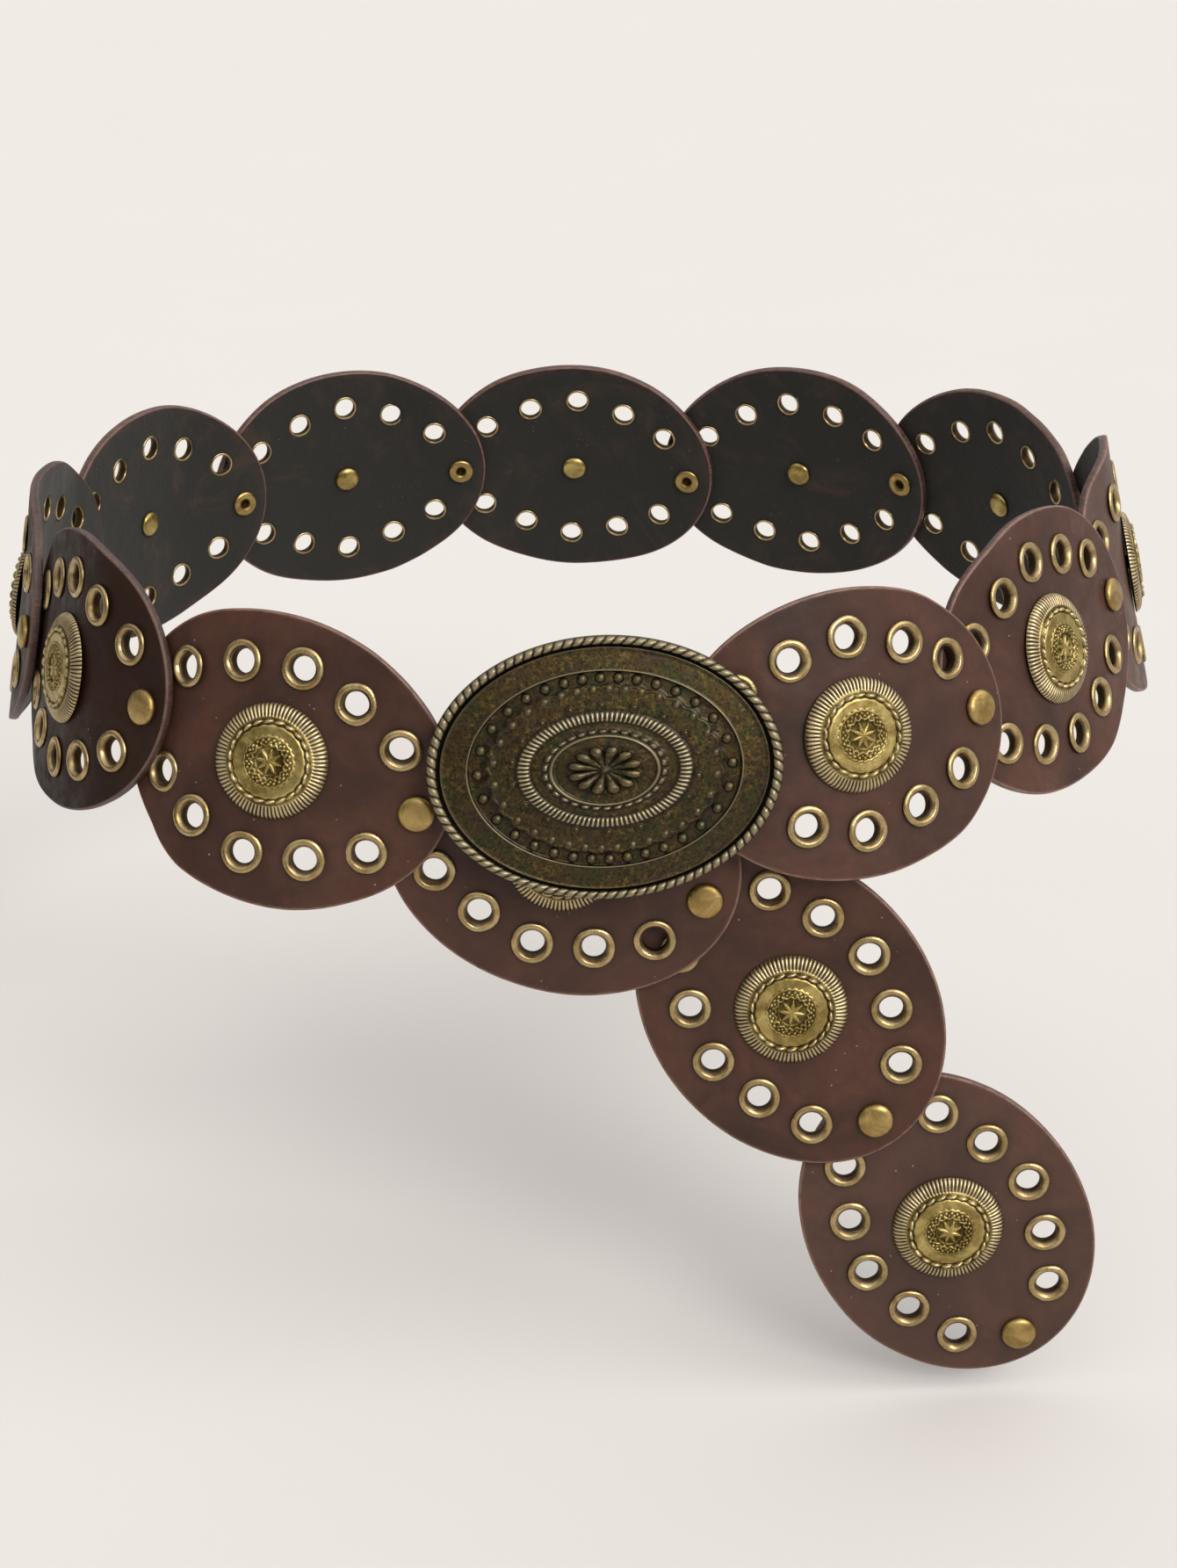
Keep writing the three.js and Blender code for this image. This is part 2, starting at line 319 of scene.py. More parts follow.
class Recipe(Nodes):
    """Node tree of one finish, whose colour is laid on coat by coat."""

    def __init__(self, name: str, base: str) -> None:
        """Makes the material with a bare shader and coordinates in millimetres.

        Args:
            name: The material's name.
            base: Its first colour.
        """
        self.material = bpy.data.materials.new(name)
        self.material.use_nodes = True
        super().__init__(self.material.node_tree)
        self.tree.nodes.clear()
        self.shader = self.tree.nodes.new("ShaderNodeBsdfPrincipled")
        output = self.tree.nodes.new("ShaderNodeOutputMaterial")
        self.feed(output.inputs["Surface"], self.shader.outputs["BSDF"])
        self.where = self.scaled(self.node("TexCoord", "Object", {}), (1 / MILLIMETRE,) * 3)
        self.colour: object = tint(base)

    def scaled(self, vector: bpy.types.NodeSocket, factors: tuple) -> bpy.types.NodeSocket:
        """Coordinates stretched along each axis."""
        return self.node("Mapping", "Vector", {"Vector": vector, "Scale": factors})

    def paint(self, share: bpy.types.NodeSocket, code: str) -> None:
        """Lays a colour on the colours so far, by its share of each place."""
        inputs = {"Factor": share, 6: self.colour, 7: tint(code)}
        self.colour = self.node("Mix", 2, inputs, data_type="RGBA")

    def finished(self, **inputs: object) -> bpy.types.Material:
        """Fills the shader's sockets.

        Args:
            inputs: What goes into each socket, named with _ for a space.

        Returns:
            The finished material.
        """
        self.feed(self.shader.inputs["Base Color"], self.colour)
        for name, value in inputs.items():
            self.feed(self.shader.inputs[name.replace("_", " ")], value)
        return self.material

    def noise(self, size: float, detail: float, rough: float, bend: float = 0.0,
              stretch: Optional[tuple] = None) -> bpy.types.NodeSocket:
        """Cloudy pattern.

        Args:
            size: Width of its larger clouds in millimetres.
            detail: How many finer layers it has.
            rough: How strong the finer layers are.
            bend: How far the pattern is pushed about by itself.
            stretch: Factors on the coordinates, for streaks.

        Returns:
            A socket of values about 0.5.
        """
        where = self.scaled(self.where, stretch) if stretch else self.where
        inputs = {"Scale": 1 / size, "Detail": detail, "Roughness": rough, "Distortion": bend,
                  "Vector": where}
        return self.node("TexNoise", "Fac", inputs)

    def cells(self, size: float, feature: str = "F1") -> bpy.types.NodeSocket:
        """Cell pattern, for leather pores and specks."""
        inputs = {"Scale": 1 / size, "Vector": self.where}
        return self.node("TexVoronoi", "Distance", inputs, feature=feature)

    def value(self, name: str) -> bpy.types.NodeSocket:
        """Per-point value that the mesh carries."""
        return self.node("Attribute", "Fac", {}, attribute_name=name)

    def span(self, value: bpy.types.NodeSocket, low: float, high: float, start: float = 0.0,
             end: float = 1.0) -> bpy.types.NodeSocket:
        """Value carried smoothly from the range low..high to start..end, and held outside it."""
        return self.ramp(value, low, high, start, end, "SMOOTHSTEP")

    def product(self, first: object, *others: object) -> bpy.types.NodeSocket:
        """Product of two or more values.

        Args:
            first: The first value.
            others: The others.

        Returns:
            A socket with their product.
        """
        for other in others:
            first = self.node("Math", 0, {0: first, 1: other}, operation="MULTIPLY")
        return first

    def bump(self, height: bpy.types.NodeSocket, depth: float,
             under: Optional[bpy.types.NodeSocket] = None) -> bpy.types.NodeSocket:
        """Surface relief.

        Args:
            height: Value that rises where the surface does.
            depth: Height in millimetres of a full step of the value.
            under: Relief that this one lies on.

        Returns:
            A normal socket.
        """
        inputs = {"Strength": 1.0, "Distance": depth * MILLIMETRE, "Height": height}
        if under is not None:
            inputs["Normal"] = under
        return self.node("Bump", "Normal", inputs)


class Face(IntEnum):
    """Faces of a leather disc, in the order of its material slots."""

    OUTER = 0
    CUT = 1
    INNER = 2


class Metal(Enum):
    """How a metal piece has aged."""

    GOLDEN = "golden"
    ANTIQUE = "antique"
    PALE = "pale"


@dataclass(frozen=True)
class LeatherFinish:
    """Oiled dark reddish leather: smooth outside, nearly black inside, paler where it is cut."""

    deep: str = "321f18"
    warm: str = "4d3025"
    # Pale colour of wear and of the painted highlight along the cut edges.
    worn_and_highlight: str = "7a5a4e"
    dust: str = "b9aaa2"
    inside: str = "1f1d19"
    inside_warm: str = "382a22"
    cut: str = "63433a"
    cut_dark: str = "38231d"
    # Colour of painted shade, and the paler colour of dust with painted light, laid on by each disc's
    # tone.
    painted_shade_colour: str = "1f120b"
    dust_and_painted_light_colour: str = "75635a"

    def outer(self) -> bpy.types.Material:
        """Front face: two browns in clouds, fine pores, a pale line of wear and painted highlight at the
        edge, painted shade round the grommets and on some discs, dust with painted light on others, and
        pale specks.

        Returns:
            The material.
        """
        recipe = Recipe("leather_outer", self.deep)
        recipe.paint(recipe.span(recipe.noise(34, 4, 0.6, 0.6), 0.3, 0.7), self.warm)
        recipe.paint(recipe.span(recipe.noise(3.2, 5, 0.65), 0.35, 0.7, 0.0, 0.35), self.deep)
        broken = recipe.span(recipe.noise(2.4, 4, 0.6), 0.35, 0.62)
        # Pale line along the cut edge: wear and a painted highlight.
        line = recipe.span(recipe.value("rim"), 1.1, 0.1)
        recipe.paint(recipe.product(broken, 0.5, line), self.worn_and_highlight)
        # Painted shade round each grommet's flange.
        recipe.paint(recipe.span(recipe.value("ring"), 7.2, 5.0, 0.0, 0.45), self.deep)
        # Painted shade on discs with a negative tone, and dust with painted light on discs with a
        # positive one.
        tone = recipe.value("tone")
        recipe.paint(recipe.span(tone, 0.0, -1.0), self.painted_shade_colour)
        recipe.paint(recipe.span(tone, 0.0, 1.0), self.dust_and_painted_light_colour)
        specks = recipe.span(recipe.cells(2.6), 0.10, 0.06)
        rare = recipe.span(recipe.noise(9, 2, 0.5), 0.52, 0.66)
        recipe.paint(recipe.product(specks, rare, 0.45), self.dust)
        relief = recipe.bump(recipe.span(recipe.cells(0.55, "DISTANCE_TO_EDGE"), 0.0, 0.35), 0.012)
        relief = recipe.bump(recipe.noise(1.1, 5, 0.6), 0.03, relief)
        relief = recipe.bump(recipe.noise(9, 2, 0.5), 0.35, relief)
        rough = recipe.span(recipe.noise(5, 4, 0.6), 0.3, 0.7, 0.42, 0.6)
        gloss = recipe.span(tone, -1.0, 0.0, 0.08, 0.24)
        return recipe.finished(Roughness=rough, Normal=relief, Specular_IOR_Level=gloss)

    def inner(self) -> bpy.types.Material:
        """Back face: nearly black, with short fibres, brown smears and pale dust in patches.

        Returns:
            The material.
        """
        recipe = Recipe("leather_inner", self.inside)
        recipe.paint(recipe.span(recipe.noise(22, 5, 0.65, 1.2), 0.5, 0.78), self.inside_warm)
        fibres = recipe.noise(0.8, 5, 0.7, stretch=(1.0, 1.0, 0.25))
        recipe.paint(recipe.span(fibres, 0.55, 0.8, 0.0, 0.4), self.cut_dark)
        line = recipe.span(recipe.value("rim"), 3.5, 0.2)
        broken = recipe.span(recipe.noise(4, 4, 0.65), 0.42, 0.7)
        recipe.paint(recipe.product(line, broken), self.cut_dark)
        specks = recipe.span(recipe.cells(1.4), 0.12, 0.05)
        patches = recipe.span(recipe.noise(7, 3, 0.6), 0.55, 0.7)
        recipe.paint(recipe.product(specks, patches, 0.5), self.dust)
        relief = recipe.bump(recipe.noise(3.5, 4, 0.6), 0.25, recipe.bump(fibres, 0.16))
        return recipe.finished(Normal=relief, Roughness=0.78, Specular_IOR_Level=0.3,
                               Sheen_Weight=0.08, Sheen_Roughness=0.5)

    def edge(self) -> bpy.types.Material:
        """Cut edge: layered fibres in a paler pinkish brown, dyed darker in patches, and paler on its
        rounded corners with wear and a painted highlight.

        Returns:
            The material.
        """
        recipe = Recipe("leather_cut", self.cut_dark)
        layers = recipe.noise(1.3, 5, 0.7, stretch=(0.5, 0.5, 2.4))
        recipe.paint(recipe.span(layers, 0.38, 0.66), self.cut)
        recipe.paint(recipe.span(recipe.noise(11, 4, 0.6), 0.4, 0.68, 0.0, 0.7), self.deep)
        broken = recipe.span(recipe.noise(3.5, 4, 0.65), 0.3, 0.6, 0.25, 0.95)
        # Wear and a painted highlight on the cut edge's rounded corners.
        recipe.paint(recipe.product(recipe.value("wear"), broken), self.worn_and_highlight)
        # Painted shade on the cut edges of discs with a negative tone.
        recipe.paint(recipe.span(recipe.value("tone"), 0.0, -1.0, 0.0, 0.6), self.painted_shade_colour)
        return recipe.finished(Normal=recipe.bump(layers, 0.22), Roughness=0.42, Specular_IOR_Level=0.5)


@dataclass(frozen=True)
class BrassFinish:
    """Aged yellow brass. Hollows hold dark patina, and high places are rubbed bright. The dark colour
    also paints shade where a part meets the leather, and the bright one paints highlights.
    """

    ageing: Metal
    bright: str
    body: str
    patina_and_shade_colour: str
    shine: float
    rubbed: str = "cfbea4"

    def material(self) -> bpy.types.Material:
        """Metal with cloudy ageing, colour by the mesh's per-point values, and fine scratches: dark
        patina in hollows with painted shade where a part meets the leather, and pale rubbed places that
        are partly painted highlights.

        Returns:
            The material.
        """
        recipe = Recipe("brass_" + self.ageing.value, self.body)
        clouds = recipe.span(recipe.noise(5.5, 5, 0.62, 0.8), 0.32, 0.72)
        recipe.paint(clouds, self.bright)
        recipe.paint(recipe.span(recipe.noise(0.9, 4, 0.7), 0.58, 0.78, 0.0, 0.45), self.patina_and_shade_colour)
        # Pale rubbed places, partly painted highlights on crests.
        recipe.paint(recipe.product(recipe.value("rubbed"), 0.75), self.rubbed)
        # Dark patina in hollows, and painted shade where a part meets the leather, under each concho and
        # inside each grommet.
        uneven = recipe.sum(recipe.value("hollow"), recipe.span(clouds, 0.0, 1.0, 0.06, -0.06))
        deep = recipe.span(uneven, 0.12, 0.85)
        recipe.paint(deep, self.patina_and_shade_colour)
        wear = recipe.span(recipe.noise(1.6, 5, 0.65), 0.3, 0.75, self.shine, self.shine + 0.2)
        rough = recipe.sum(wear, recipe.product(deep, 0.3))
        relief = recipe.bump(recipe.noise(0.45, 4, 0.6), 0.04)
        relief = recipe.bump(recipe.noise(2.2, 3, 0.5), 0.06, relief)
        return recipe.finished(Roughness=rough, Normal=relief, Metallic=1.0)


@dataclass(frozen=True)
class BronzeFinish:
    """Mottled dark bronze of the buckle, brown and green in its field, rubbed pale and painted with
    highlights on its ridges.
    """

    brown: str = "42331a"
    green: str = "34331a"
    plum: str = "3b2b22"
    gold: str = "6d5728"
    # Pale rubbed colour, which also paints highlights on the ridges.
    pale: str = "b9ab89"
    soot_and_painted_shade: str = "110d08"

    def material(self) -> bpy.types.Material:
        """Metal whose colour follows the mesh's per-point values for patina with painted shade, and for
        rubbing with painted highlights.

        Returns:
            The material.
        """
        recipe = Recipe("bronze_patina", self.brown)
        recipe.paint(recipe.span(recipe.noise(7.5, 4, 0.65, 1.0), 0.4, 0.6), self.green)
        recipe.paint(recipe.span(recipe.noise(5.0, 4, 0.7, 0.5), 0.5, 0.66), self.plum)
        flecks = recipe.span(recipe.noise(1.3, 6, 0.8, 0.4), 0.5, 0.62)
        drifts = recipe.span(recipe.noise(9.0, 3, 0.6), 0.36, 0.6, 0.25, 0.95)
        recipe.paint(recipe.product(flecks, drifts), self.gold)
        recipe.paint(recipe.span(recipe.noise(0.8, 5, 0.75), 0.47, 0.62, 0.0, 0.75), self.soot_and_painted_shade)
        # Pale rubbing on ridges, partly painted highlights, then near black patina in grooves with
        # painted shade round the bead bases.
        recipe.paint(recipe.value("rubbed"), self.pale)
        recipe.paint(recipe.value("hollow"), self.soot_and_painted_shade)
        rough = recipe.span(recipe.noise(2.0, 5, 0.7), 0.3, 0.75, 0.34, 0.56)
        relief = recipe.bump(recipe.noise(0.55, 5, 0.7), 0.05)
        relief = recipe.bump(recipe.noise(3.0, 4, 0.6), 0.12, relief)
        return recipe.finished(Roughness=rough, Normal=relief, Metallic=0.9,
                               Coat_Weight=0.2, Coat_Roughness=0.2)


@dataclass(frozen=True)
class Finishes:
    """Every material of the belt, made once."""

    leather: tuple
    golden: bpy.types.Material
    antique: bpy.types.Material
    pale: bpy.types.Material
    bronze: bpy.types.Material

    @classmethod
    def made(cls) -> "Finishes":
        """Makes the materials.

        Returns:
            All of them.
        """
        leather = LeatherFinish()
        golden = BrassFinish(Metal.GOLDEN, "ba9f66", "8a7344", "352713", 0.3)
        antique = BrassFinish(Metal.ANTIQUE, "bfab6e", "867240", "2e2210", 0.27)
        pale = BrassFinish(Metal.PALE, "bda77b", "917b52", "3c2f1d", 0.24)
        return cls((leather.outer(), leather.edge(), leather.inner()), golden.material(),
                   antique.material(), pale.material(), BronzeFinish().material())


# The chain of discs


@dataclass(frozen=True)
class Curl:
    """How the trailing and the leading half of a disc are curled round the waist, in degrees.

    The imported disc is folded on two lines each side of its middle. The leather here follows a
    smooth arc that leaves both ends where the folds do. Each end also leans about the length.
    """

    bend: tuple
    lean: tuple
    lines: tuple = (7.0, 20.5)
    arc: tuple = (4.0, 23.5)
    lean_zone: tuple = (14.0, 27.0)

    def lean_at(self, along: np.ndarray | float) -> np.ndarray:
        """How far the leather leans about its length: not at all under the concho.

        Args:
            along: Place along the flat disc from its middle.

        Returns:
            The angle in radians.
        """
        start, end = self.lean_zone
        share = np.clip((np.abs(along) - start) / (end - start), 0, 1)
        return share * np.radians(np.where(np.asarray(along) < 0, *self.lean))

    def station(self, along: float, across: float = 0.0, out: float = 0.0) -> Matrix:
        """Frame on the folded disc, with z along its normal.

        Args:
            along: Place along the flat disc from its middle.
            across: Place across it.
            out: Height over its inner face.

        Returns:
            The frame in the disc's own frame.
        """
        side = -1 if along < 0 else 1
        reach = abs(along)
        fold = math.radians(self.bend[along >= 0]) / len(self.lines)
        x = z = angle = start = 0.0
        for line in [line for line in self.lines if line < reach]:
            x += (line - start) * math.cos(angle)
            z -= (line - start) * math.sin(angle)
            angle += fold
            start = line
        x += (reach - start) * math.cos(angle)
        z -= (reach - start) * math.sin(angle)
        bent = moved(side * x, 0, z) @ turned("Y", math.degrees(side * angle))
        return bent @ turned("X", math.degrees(self.lean_at(along))) @ moved(0, across, out)

    def lay(self, along: np.ndarray, across: np.ndarray, out: np.ndarray) -> np.ndarray:
        """Lays points of the flat disc on the smooth curl.

        Args:
            along: Places along the flat disc from its middle.
            across: Places across it.
            out: Heights over its inner face.

        Returns:
            The points in the disc's own frame.
        """
        lean = self.lean_at(along)
        across, out = (across * np.cos(lean) - out * np.sin(lean),
                       across * np.sin(lean) + out * np.cos(lean))
        start, end = self.arc
        half = np.radians(np.where(along < 0, *self.bend))
        radius = (end - start) / half
        reach = np.abs(along)
        angle = half * np.clip((reach - start) / (end - start), 0, 1)
        beyond = np.clip(reach - end, 0, None)
        x = np.minimum(reach, start) + radius * np.sin(angle) + beyond * np.cos(half)
        z = -radius * (1 - np.cos(angle)) - beyond * np.sin(half)
        x = x + out * np.sin(angle)
        z = z + out * np.cos(angle)
        return np.stack([np.sign(along) * x, across, z], axis=-1)

    def seat(self, along: float, across: float, out: float) -> Matrix:
        """Frame on the smooth curl, with z along its normal.

        Args:
            along: Place along the flat disc from its middle.
            across: Place across it.
            out: Height over its inner face.

        Returns:
            The frame in the disc's own frame.
        """
        spot = self.lay(np.array([along]), np.array([across]), np.array([out]))[0]
        start, end = self.arc
        share = min(max((abs(along) - start) / (end - start), 0), 1)
        angle = share * (self.bend[1] if along >= 0 else -self.bend[0])
        return moved(*spot) @ turned("Y", angle) @ turned("X", math.degrees(self.lean_at(along)))


@dataclass(frozen=True)
class Link:
    """One disc's place in the chain, its curl, and its swing on the rivet of the disc before it.

    Its tone goes from -1, painted shade in a darker leather colour for discs that face away from the
    lamps, to 1, dust and painted light in a paler, greyer colour.
    """

    place: str
    curl: Curl
    swing: float
    tone: float


@dataclass(frozen=True)
class Chain:
    """Frames of the discs, from the buckle round the wearer's left and back, then down the tail."""

    links: tuple
    first_spot: tuple = (64.6, -114.0, 0.4)
    first_turn: tuple = (74.7, 20.6, 5.8)
    pitch: float = 70.0
    leather: float = 2.2
    layer_step: float = 3.2

    def frames(self) -> dict:
        """Frame of each disc on the belt.

        Returns:
            Frames by place, in the chain's order.
        """
        turns = [turned(axis, angle) for axis, angle in zip("XYZ", self.first_turn)]
        found = {}
        seat = moved(*self.first_spot) @ turns[0] @ turns[1] @ turns[2]
        for number, link in enumerate(self.links):
            if number:
                trailing = link.curl.station(-self.pitch / 2)
                seat = seat @ turned("Z", link.swing) @ trailing.inverted()
            found[link.place] = seat
            seat = seat @ link.curl.station(self.pitch / 2, out=-self.layer_step)
        return found


# The last column is each disc's tone: below 0 painted shade, above 0 dust and painted light.
CHAIN = Chain(tuple(Link(place, Curl(bend, lean), swing, tone) for place, bend, lean, swing, tone in (
    ("front_left", (18.25, 17.5), (0, -3.5), 0, 0.05),
    ("side_left_front", (11.5, 7.5), (-3, 1), 14, 0),
    ("side_left", (24, 25), (-3, 3), -5.5, 0.3),
    ("back_left", (15.5, 15.5), (4, -1.5), 15.5, 0),
    ("back_left_middle", (14.5, 10.5), (-1, -2), -2.5, 0),
    ("back_middle", (11.5, 9.5), (0, 1), 13.5, 0),
    ("back_right_middle", (13, 14), (-4, 1), -1, 0),
    ("back_right", (26, 9), (-2, 1.5), 6, 0),
    ("side_right", (17.5, 20), (5, -1.5), 4.5, -0.6),
    ("side_right_front", (9, 22.75), (0.75, -3), 6, -0.7),
    ("front_right", (27.5, 12.25), (6.5, 6.25), -4.75, -0.15),
    ("under_buckle", (0.75, 0.75), (0, 0), 1, 0.1),
    ("tail_upper", (-0.5, -0.5), (0, 0), -35.5, 0.05),
    ("tail_end", (3.25, 3.25), (0, 0), -4, 0.2),
)))


# Leather and its grommets


@dataclass(frozen=True)
class DiscPattern:
    """The flat pattern that every disc is cut to, with its openings and the mesh between them."""

    length: float = 85.0
    height: float = 67.4
    outline_points: int = 150
    grommet_spots: tuple = ((27.0, 13.0), (14.1, 19.2), (0.0, 22.6))
    grommet_hole: float = 3.05
    post_hole: float = 1.75
    rim_inset: float = 0.5
    finer_insets: tuple = (1.1,)
    coarser_insets: tuple = (2.2, 3.8)
    grommet_rings: tuple = (4.3, 5.3, 6.5)
    grommet_clear: float = 7.6
    post_rings: tuple = (3.0,)
    post_clear: float = 4.2
    mesh_size: float = 2.5
    row_share: float = 0.87
    grid_share: float = 0.78
    join_tolerance: float = 1e-5

    def grommets(self) -> list:
        """Middles of the ten grommets.

        Returns:
            Places along and across the flat disc.
        """
        spots = []
        for along, across in self.grommet_spots:
            for x in ((along, -along) if along else (along,)):
                spots += [(x, across), (x, -across)]
        return spots

    def posts(self) -> list:
        """Middles of the three post holes."""
        return [(-CHAIN.pitch / 2, 0.0), (0.0, 0.0), (CHAIN.pitch / 2, 0.0)]

    def outline(self, inset: float) -> np.ndarray:
        """Points of the oval outline, evenly spaced and moved inwards.

        Args:
            inset: How far inside the cut edge they lie.

        Returns:
            Anticlockwise points, one in each row.
        """
        a, b = self.length / 2, self.height / 2
        angle = even_angles(a, b, self.outline_points)
        normal = np.stack([b * np.cos(angle), a * np.sin(angle)], axis=-1)
        normal /= np.linalg.norm(normal, axis=1)[:, None]
        return np.stack([a * np.cos(angle), b * np.sin(angle)], axis=-1) - inset * normal

    def gap(self, points: np.ndarray, spots: Sequence) -> np.ndarray:
        """Distance of each point from the nearest of some spots."""
        return np.linalg.norm(points[:, None, :] - np.array(spots)[None, :, :], axis=2).min(axis=1)

    def rim(self, points: np.ndarray) -> np.ndarray:
        """Distance of each point from the cut edge."""
        return self.gap(points, self.outline(0.0))

    def ring(self, points: np.ndarray) -> np.ndarray:
        """Distance of each point from the middle of its nearest grommet."""
        return self.gap(points, self.grommets())

    @lru_cache(maxsize=None)
    def mesh(self) -> tuple:
        """Triangles between the outline and the openings.

        Returns:
            Points, triangles, the outline's point numbers, and those of each opening's ring.
        """
        points: list = []
        edges: list = []
        loops: list = []

        def add_loop(loop: np.ndarray, fixed: bool = True) -> None:
            """Adds a closed row of points.

            Args:
                loop: The points.
                fixed: Whether the row stays an edge of the mesh.
            """
            first = len(points)
            points.extend(loop.tolist())
            if fixed:
                numbers = list(range(first, len(points)))
                edges.extend(zip(numbers, [*numbers[1:], first]))
                loops.append(numbers)

        add_loop(self.outline(self.rim_inset))
        openings = [(spot, self.grommet_hole, self.grommet_rings, 26) for spot in self.grommets()]
        openings += [(spot, self.post_hole, self.post_rings, 16) for spot in self.posts()]
        for spot, radius, wider, sides in openings:
            circle = oval(around(sides), 1.0, 1.0, 0.0)[:, :2]
            for reach in (radius, *wider):
                add_loop(np.array(spot) + reach * circle, fixed=reach == radius)
        for inset in self.finer_insets:
            add_loop(self.outline(inset), fixed=False)
        for inset in self.coarser_insets:
            add_loop(self.outline(inset)[::2], fixed=False)
        rows = np.arange(-self.height / 2, self.height / 2, self.mesh_size * self.row_share)
        columns = np.arange(-self.length / 2, self.length / 2, self.mesh_size)
        grid = np.array([(x + (n % 2) * self.mesh_size / 2, y)
                         for n, y in enumerate(rows) for x in columns])
        shares = (2 * grid[:, 0] / self.length) ** 2 + (2 * grid[:, 1] / self.height) ** 2
        clear = (self.ring(grid) > self.grommet_clear) & (self.gap(grid, self.posts()) > self.post_clear)
        points.extend(grid[(shares < self.grid_share) & clear].tolist())

        found, _, faces, sources, _, _ = delaunay_2d_cdt(
            [Vector(p) for p in points], edges, [], 1, self.join_tolerance)
        number = {old: new for new, olds in enumerate(sources) for old in olds}
        flat = np.array([tuple(p) for p in found])
        triangles = np.array(faces)
        middle = flat[triangles].mean(axis=1)
        kept = self.ring(middle) > self.grommet_hole * 0.99
        kept &= self.gap(middle, self.posts()) > self.post_hole * 0.98
        a, b, c = (flat[triangles[:, i]] for i in range(3))
        area = (b[:, 0] - a[:, 0]) * (c[:, 1] - a[:, 1]) - (b[:, 1] - a[:, 1]) * (c[:, 0] - a[:, 0])
        triangles[area < 0] = triangles[area < 0][:, ::-1]
        rings = [[number[i] for i in loop] for loop in loops]
        return flat, triangles[kept], rings[0], rings[1:]


PATTERN = DiscPattern()


@dataclass
class LeatherDisc:
    """One oval disc of leather, curled and a little wavy, with rounded cut edges."""

    link: Link
    seat: Matrix
    seed: int
    thick: float = 2.2
    wave: float = 0.28
    ripple: float = 0.05
    bite_depth: float = 0.16
    edge_profile: tuple = ((0.5, 2.2), (0.24, 2.14), (0.07, 1.98), (0.0, 1.65), (-0.03, 1.1),
                           (0.0, 0.5), (0.09, 0.2), (0.26, 0.05), (0.5, 0.0))
    # Share of wear and painted highlight on each ring of the edge, most on the outer corner.
    edge_wear_and_highlight: tuple = (0.9, 1.0, 0.9, 0.35, 0.0, 0.1, 0.5, 0.6, 0.5)

    def waviness(self, flat: np.ndarray) -> np.ndarray:
        """How far the leather has warped at each point, most at its upper and lower edges.

        Args:
            flat: Points of the flat pattern.

        Returns:
            Heights in millimetres, about nothing at the rivets.
        """
        random = np.random.default_rng(self.seed)
        phase = random.uniform(0, TURN, 3)
        x, y = flat[:, 0], flat[:, 1]
        wavy = np.sin(x / 9.5 + phase[0]) + 0.6 * np.sin(x / 5.1 + y / 14 + phase[1])
        edge = smooth(14, 33, np.abs(y)) * smooth(33, 22, np.abs(x))
        return self.wave * edge * wavy + self.ripple * np.sin(x / 7 + y / 6 + phase[2])

    def bite(self, flat: np.ndarray) -> np.ndarray:
        """How far the grommets' flanges press the outer face in."""
        return self.bite_depth * smooth(6.6, 5.0, PATTERN.ring(flat))

    def laid(self, flat: np.ndarray, out: object) -> np.ndarray:
        """Flat points laid on the curled and warped leather."""
        return self.link.curl.lay(flat[:, 0], flat[:, 1], out + self.waviness(flat))

    def skin(self) -> Skin:
        """Closed mesh of the disc with its openings.

        Returns:
            The skin in the disc's own frame.
        """
        flat, triangles, outline, openings = PATTERN.mesh()
        skin = Skin()
        # Each point carries its disc's tone, for painted shade and for dust with painted light.
        marks = {"rim": np.minimum(PATTERN.rim(flat), 10), "ring": PATTERN.ring(flat), "wear": 0.0,
                 "tone": self.link.tone}
        outer = self.laid(flat, self.thick - self.bite(flat))
        skin.add(outer, triangles, Face.OUTER, **marks)
        back = skin.add(self.laid(flat, 0.0), triangles[:, ::-1], Face.INNER, **marks)

        edge = [PATTERN.outline(inset) for inset, _ in self.edge_profile]
        rings = [self.laid(points, height) for points, (_, height) in zip(edge, self.edge_profile)]
        rings[0] = outer[outline]
        rings[-1] = self.laid(flat[outline], 0.0)
        turned_over = band_faces(len(rings), len(outline))[:, ::-1]
        # Wear and painted highlight on each ring of the cut edge.
        wear = np.repeat(self.edge_wear_and_highlight, len(outline))
        skin.add(np.vstack(rings), turned_over, Face.CUT, ring=20.0, wear=wear, tone=self.link.tone)
        for opening in openings:
            numbers = np.array(opening)
            upper, lower = numbers, numbers + back
            following, below = np.roll(upper, -1), np.roll(lower, -1)
            skin.join(np.stack([upper, following, below, lower], axis=-1), Face.CUT)
        return skin

    def dress(self, finishes: Finishes) -> bpy.types.Object:
        """Lays the leather down in place of its packed disc.

        Args:
            finishes: The belt's materials.

        Returns:
            The piece.
        """
        skin = self.skin()
        skin.place(self.seat)
        piece = skin.piece("leather_" + self.link.place, finishes.leather)
        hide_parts("disc_" + self.link.place)
        return piece


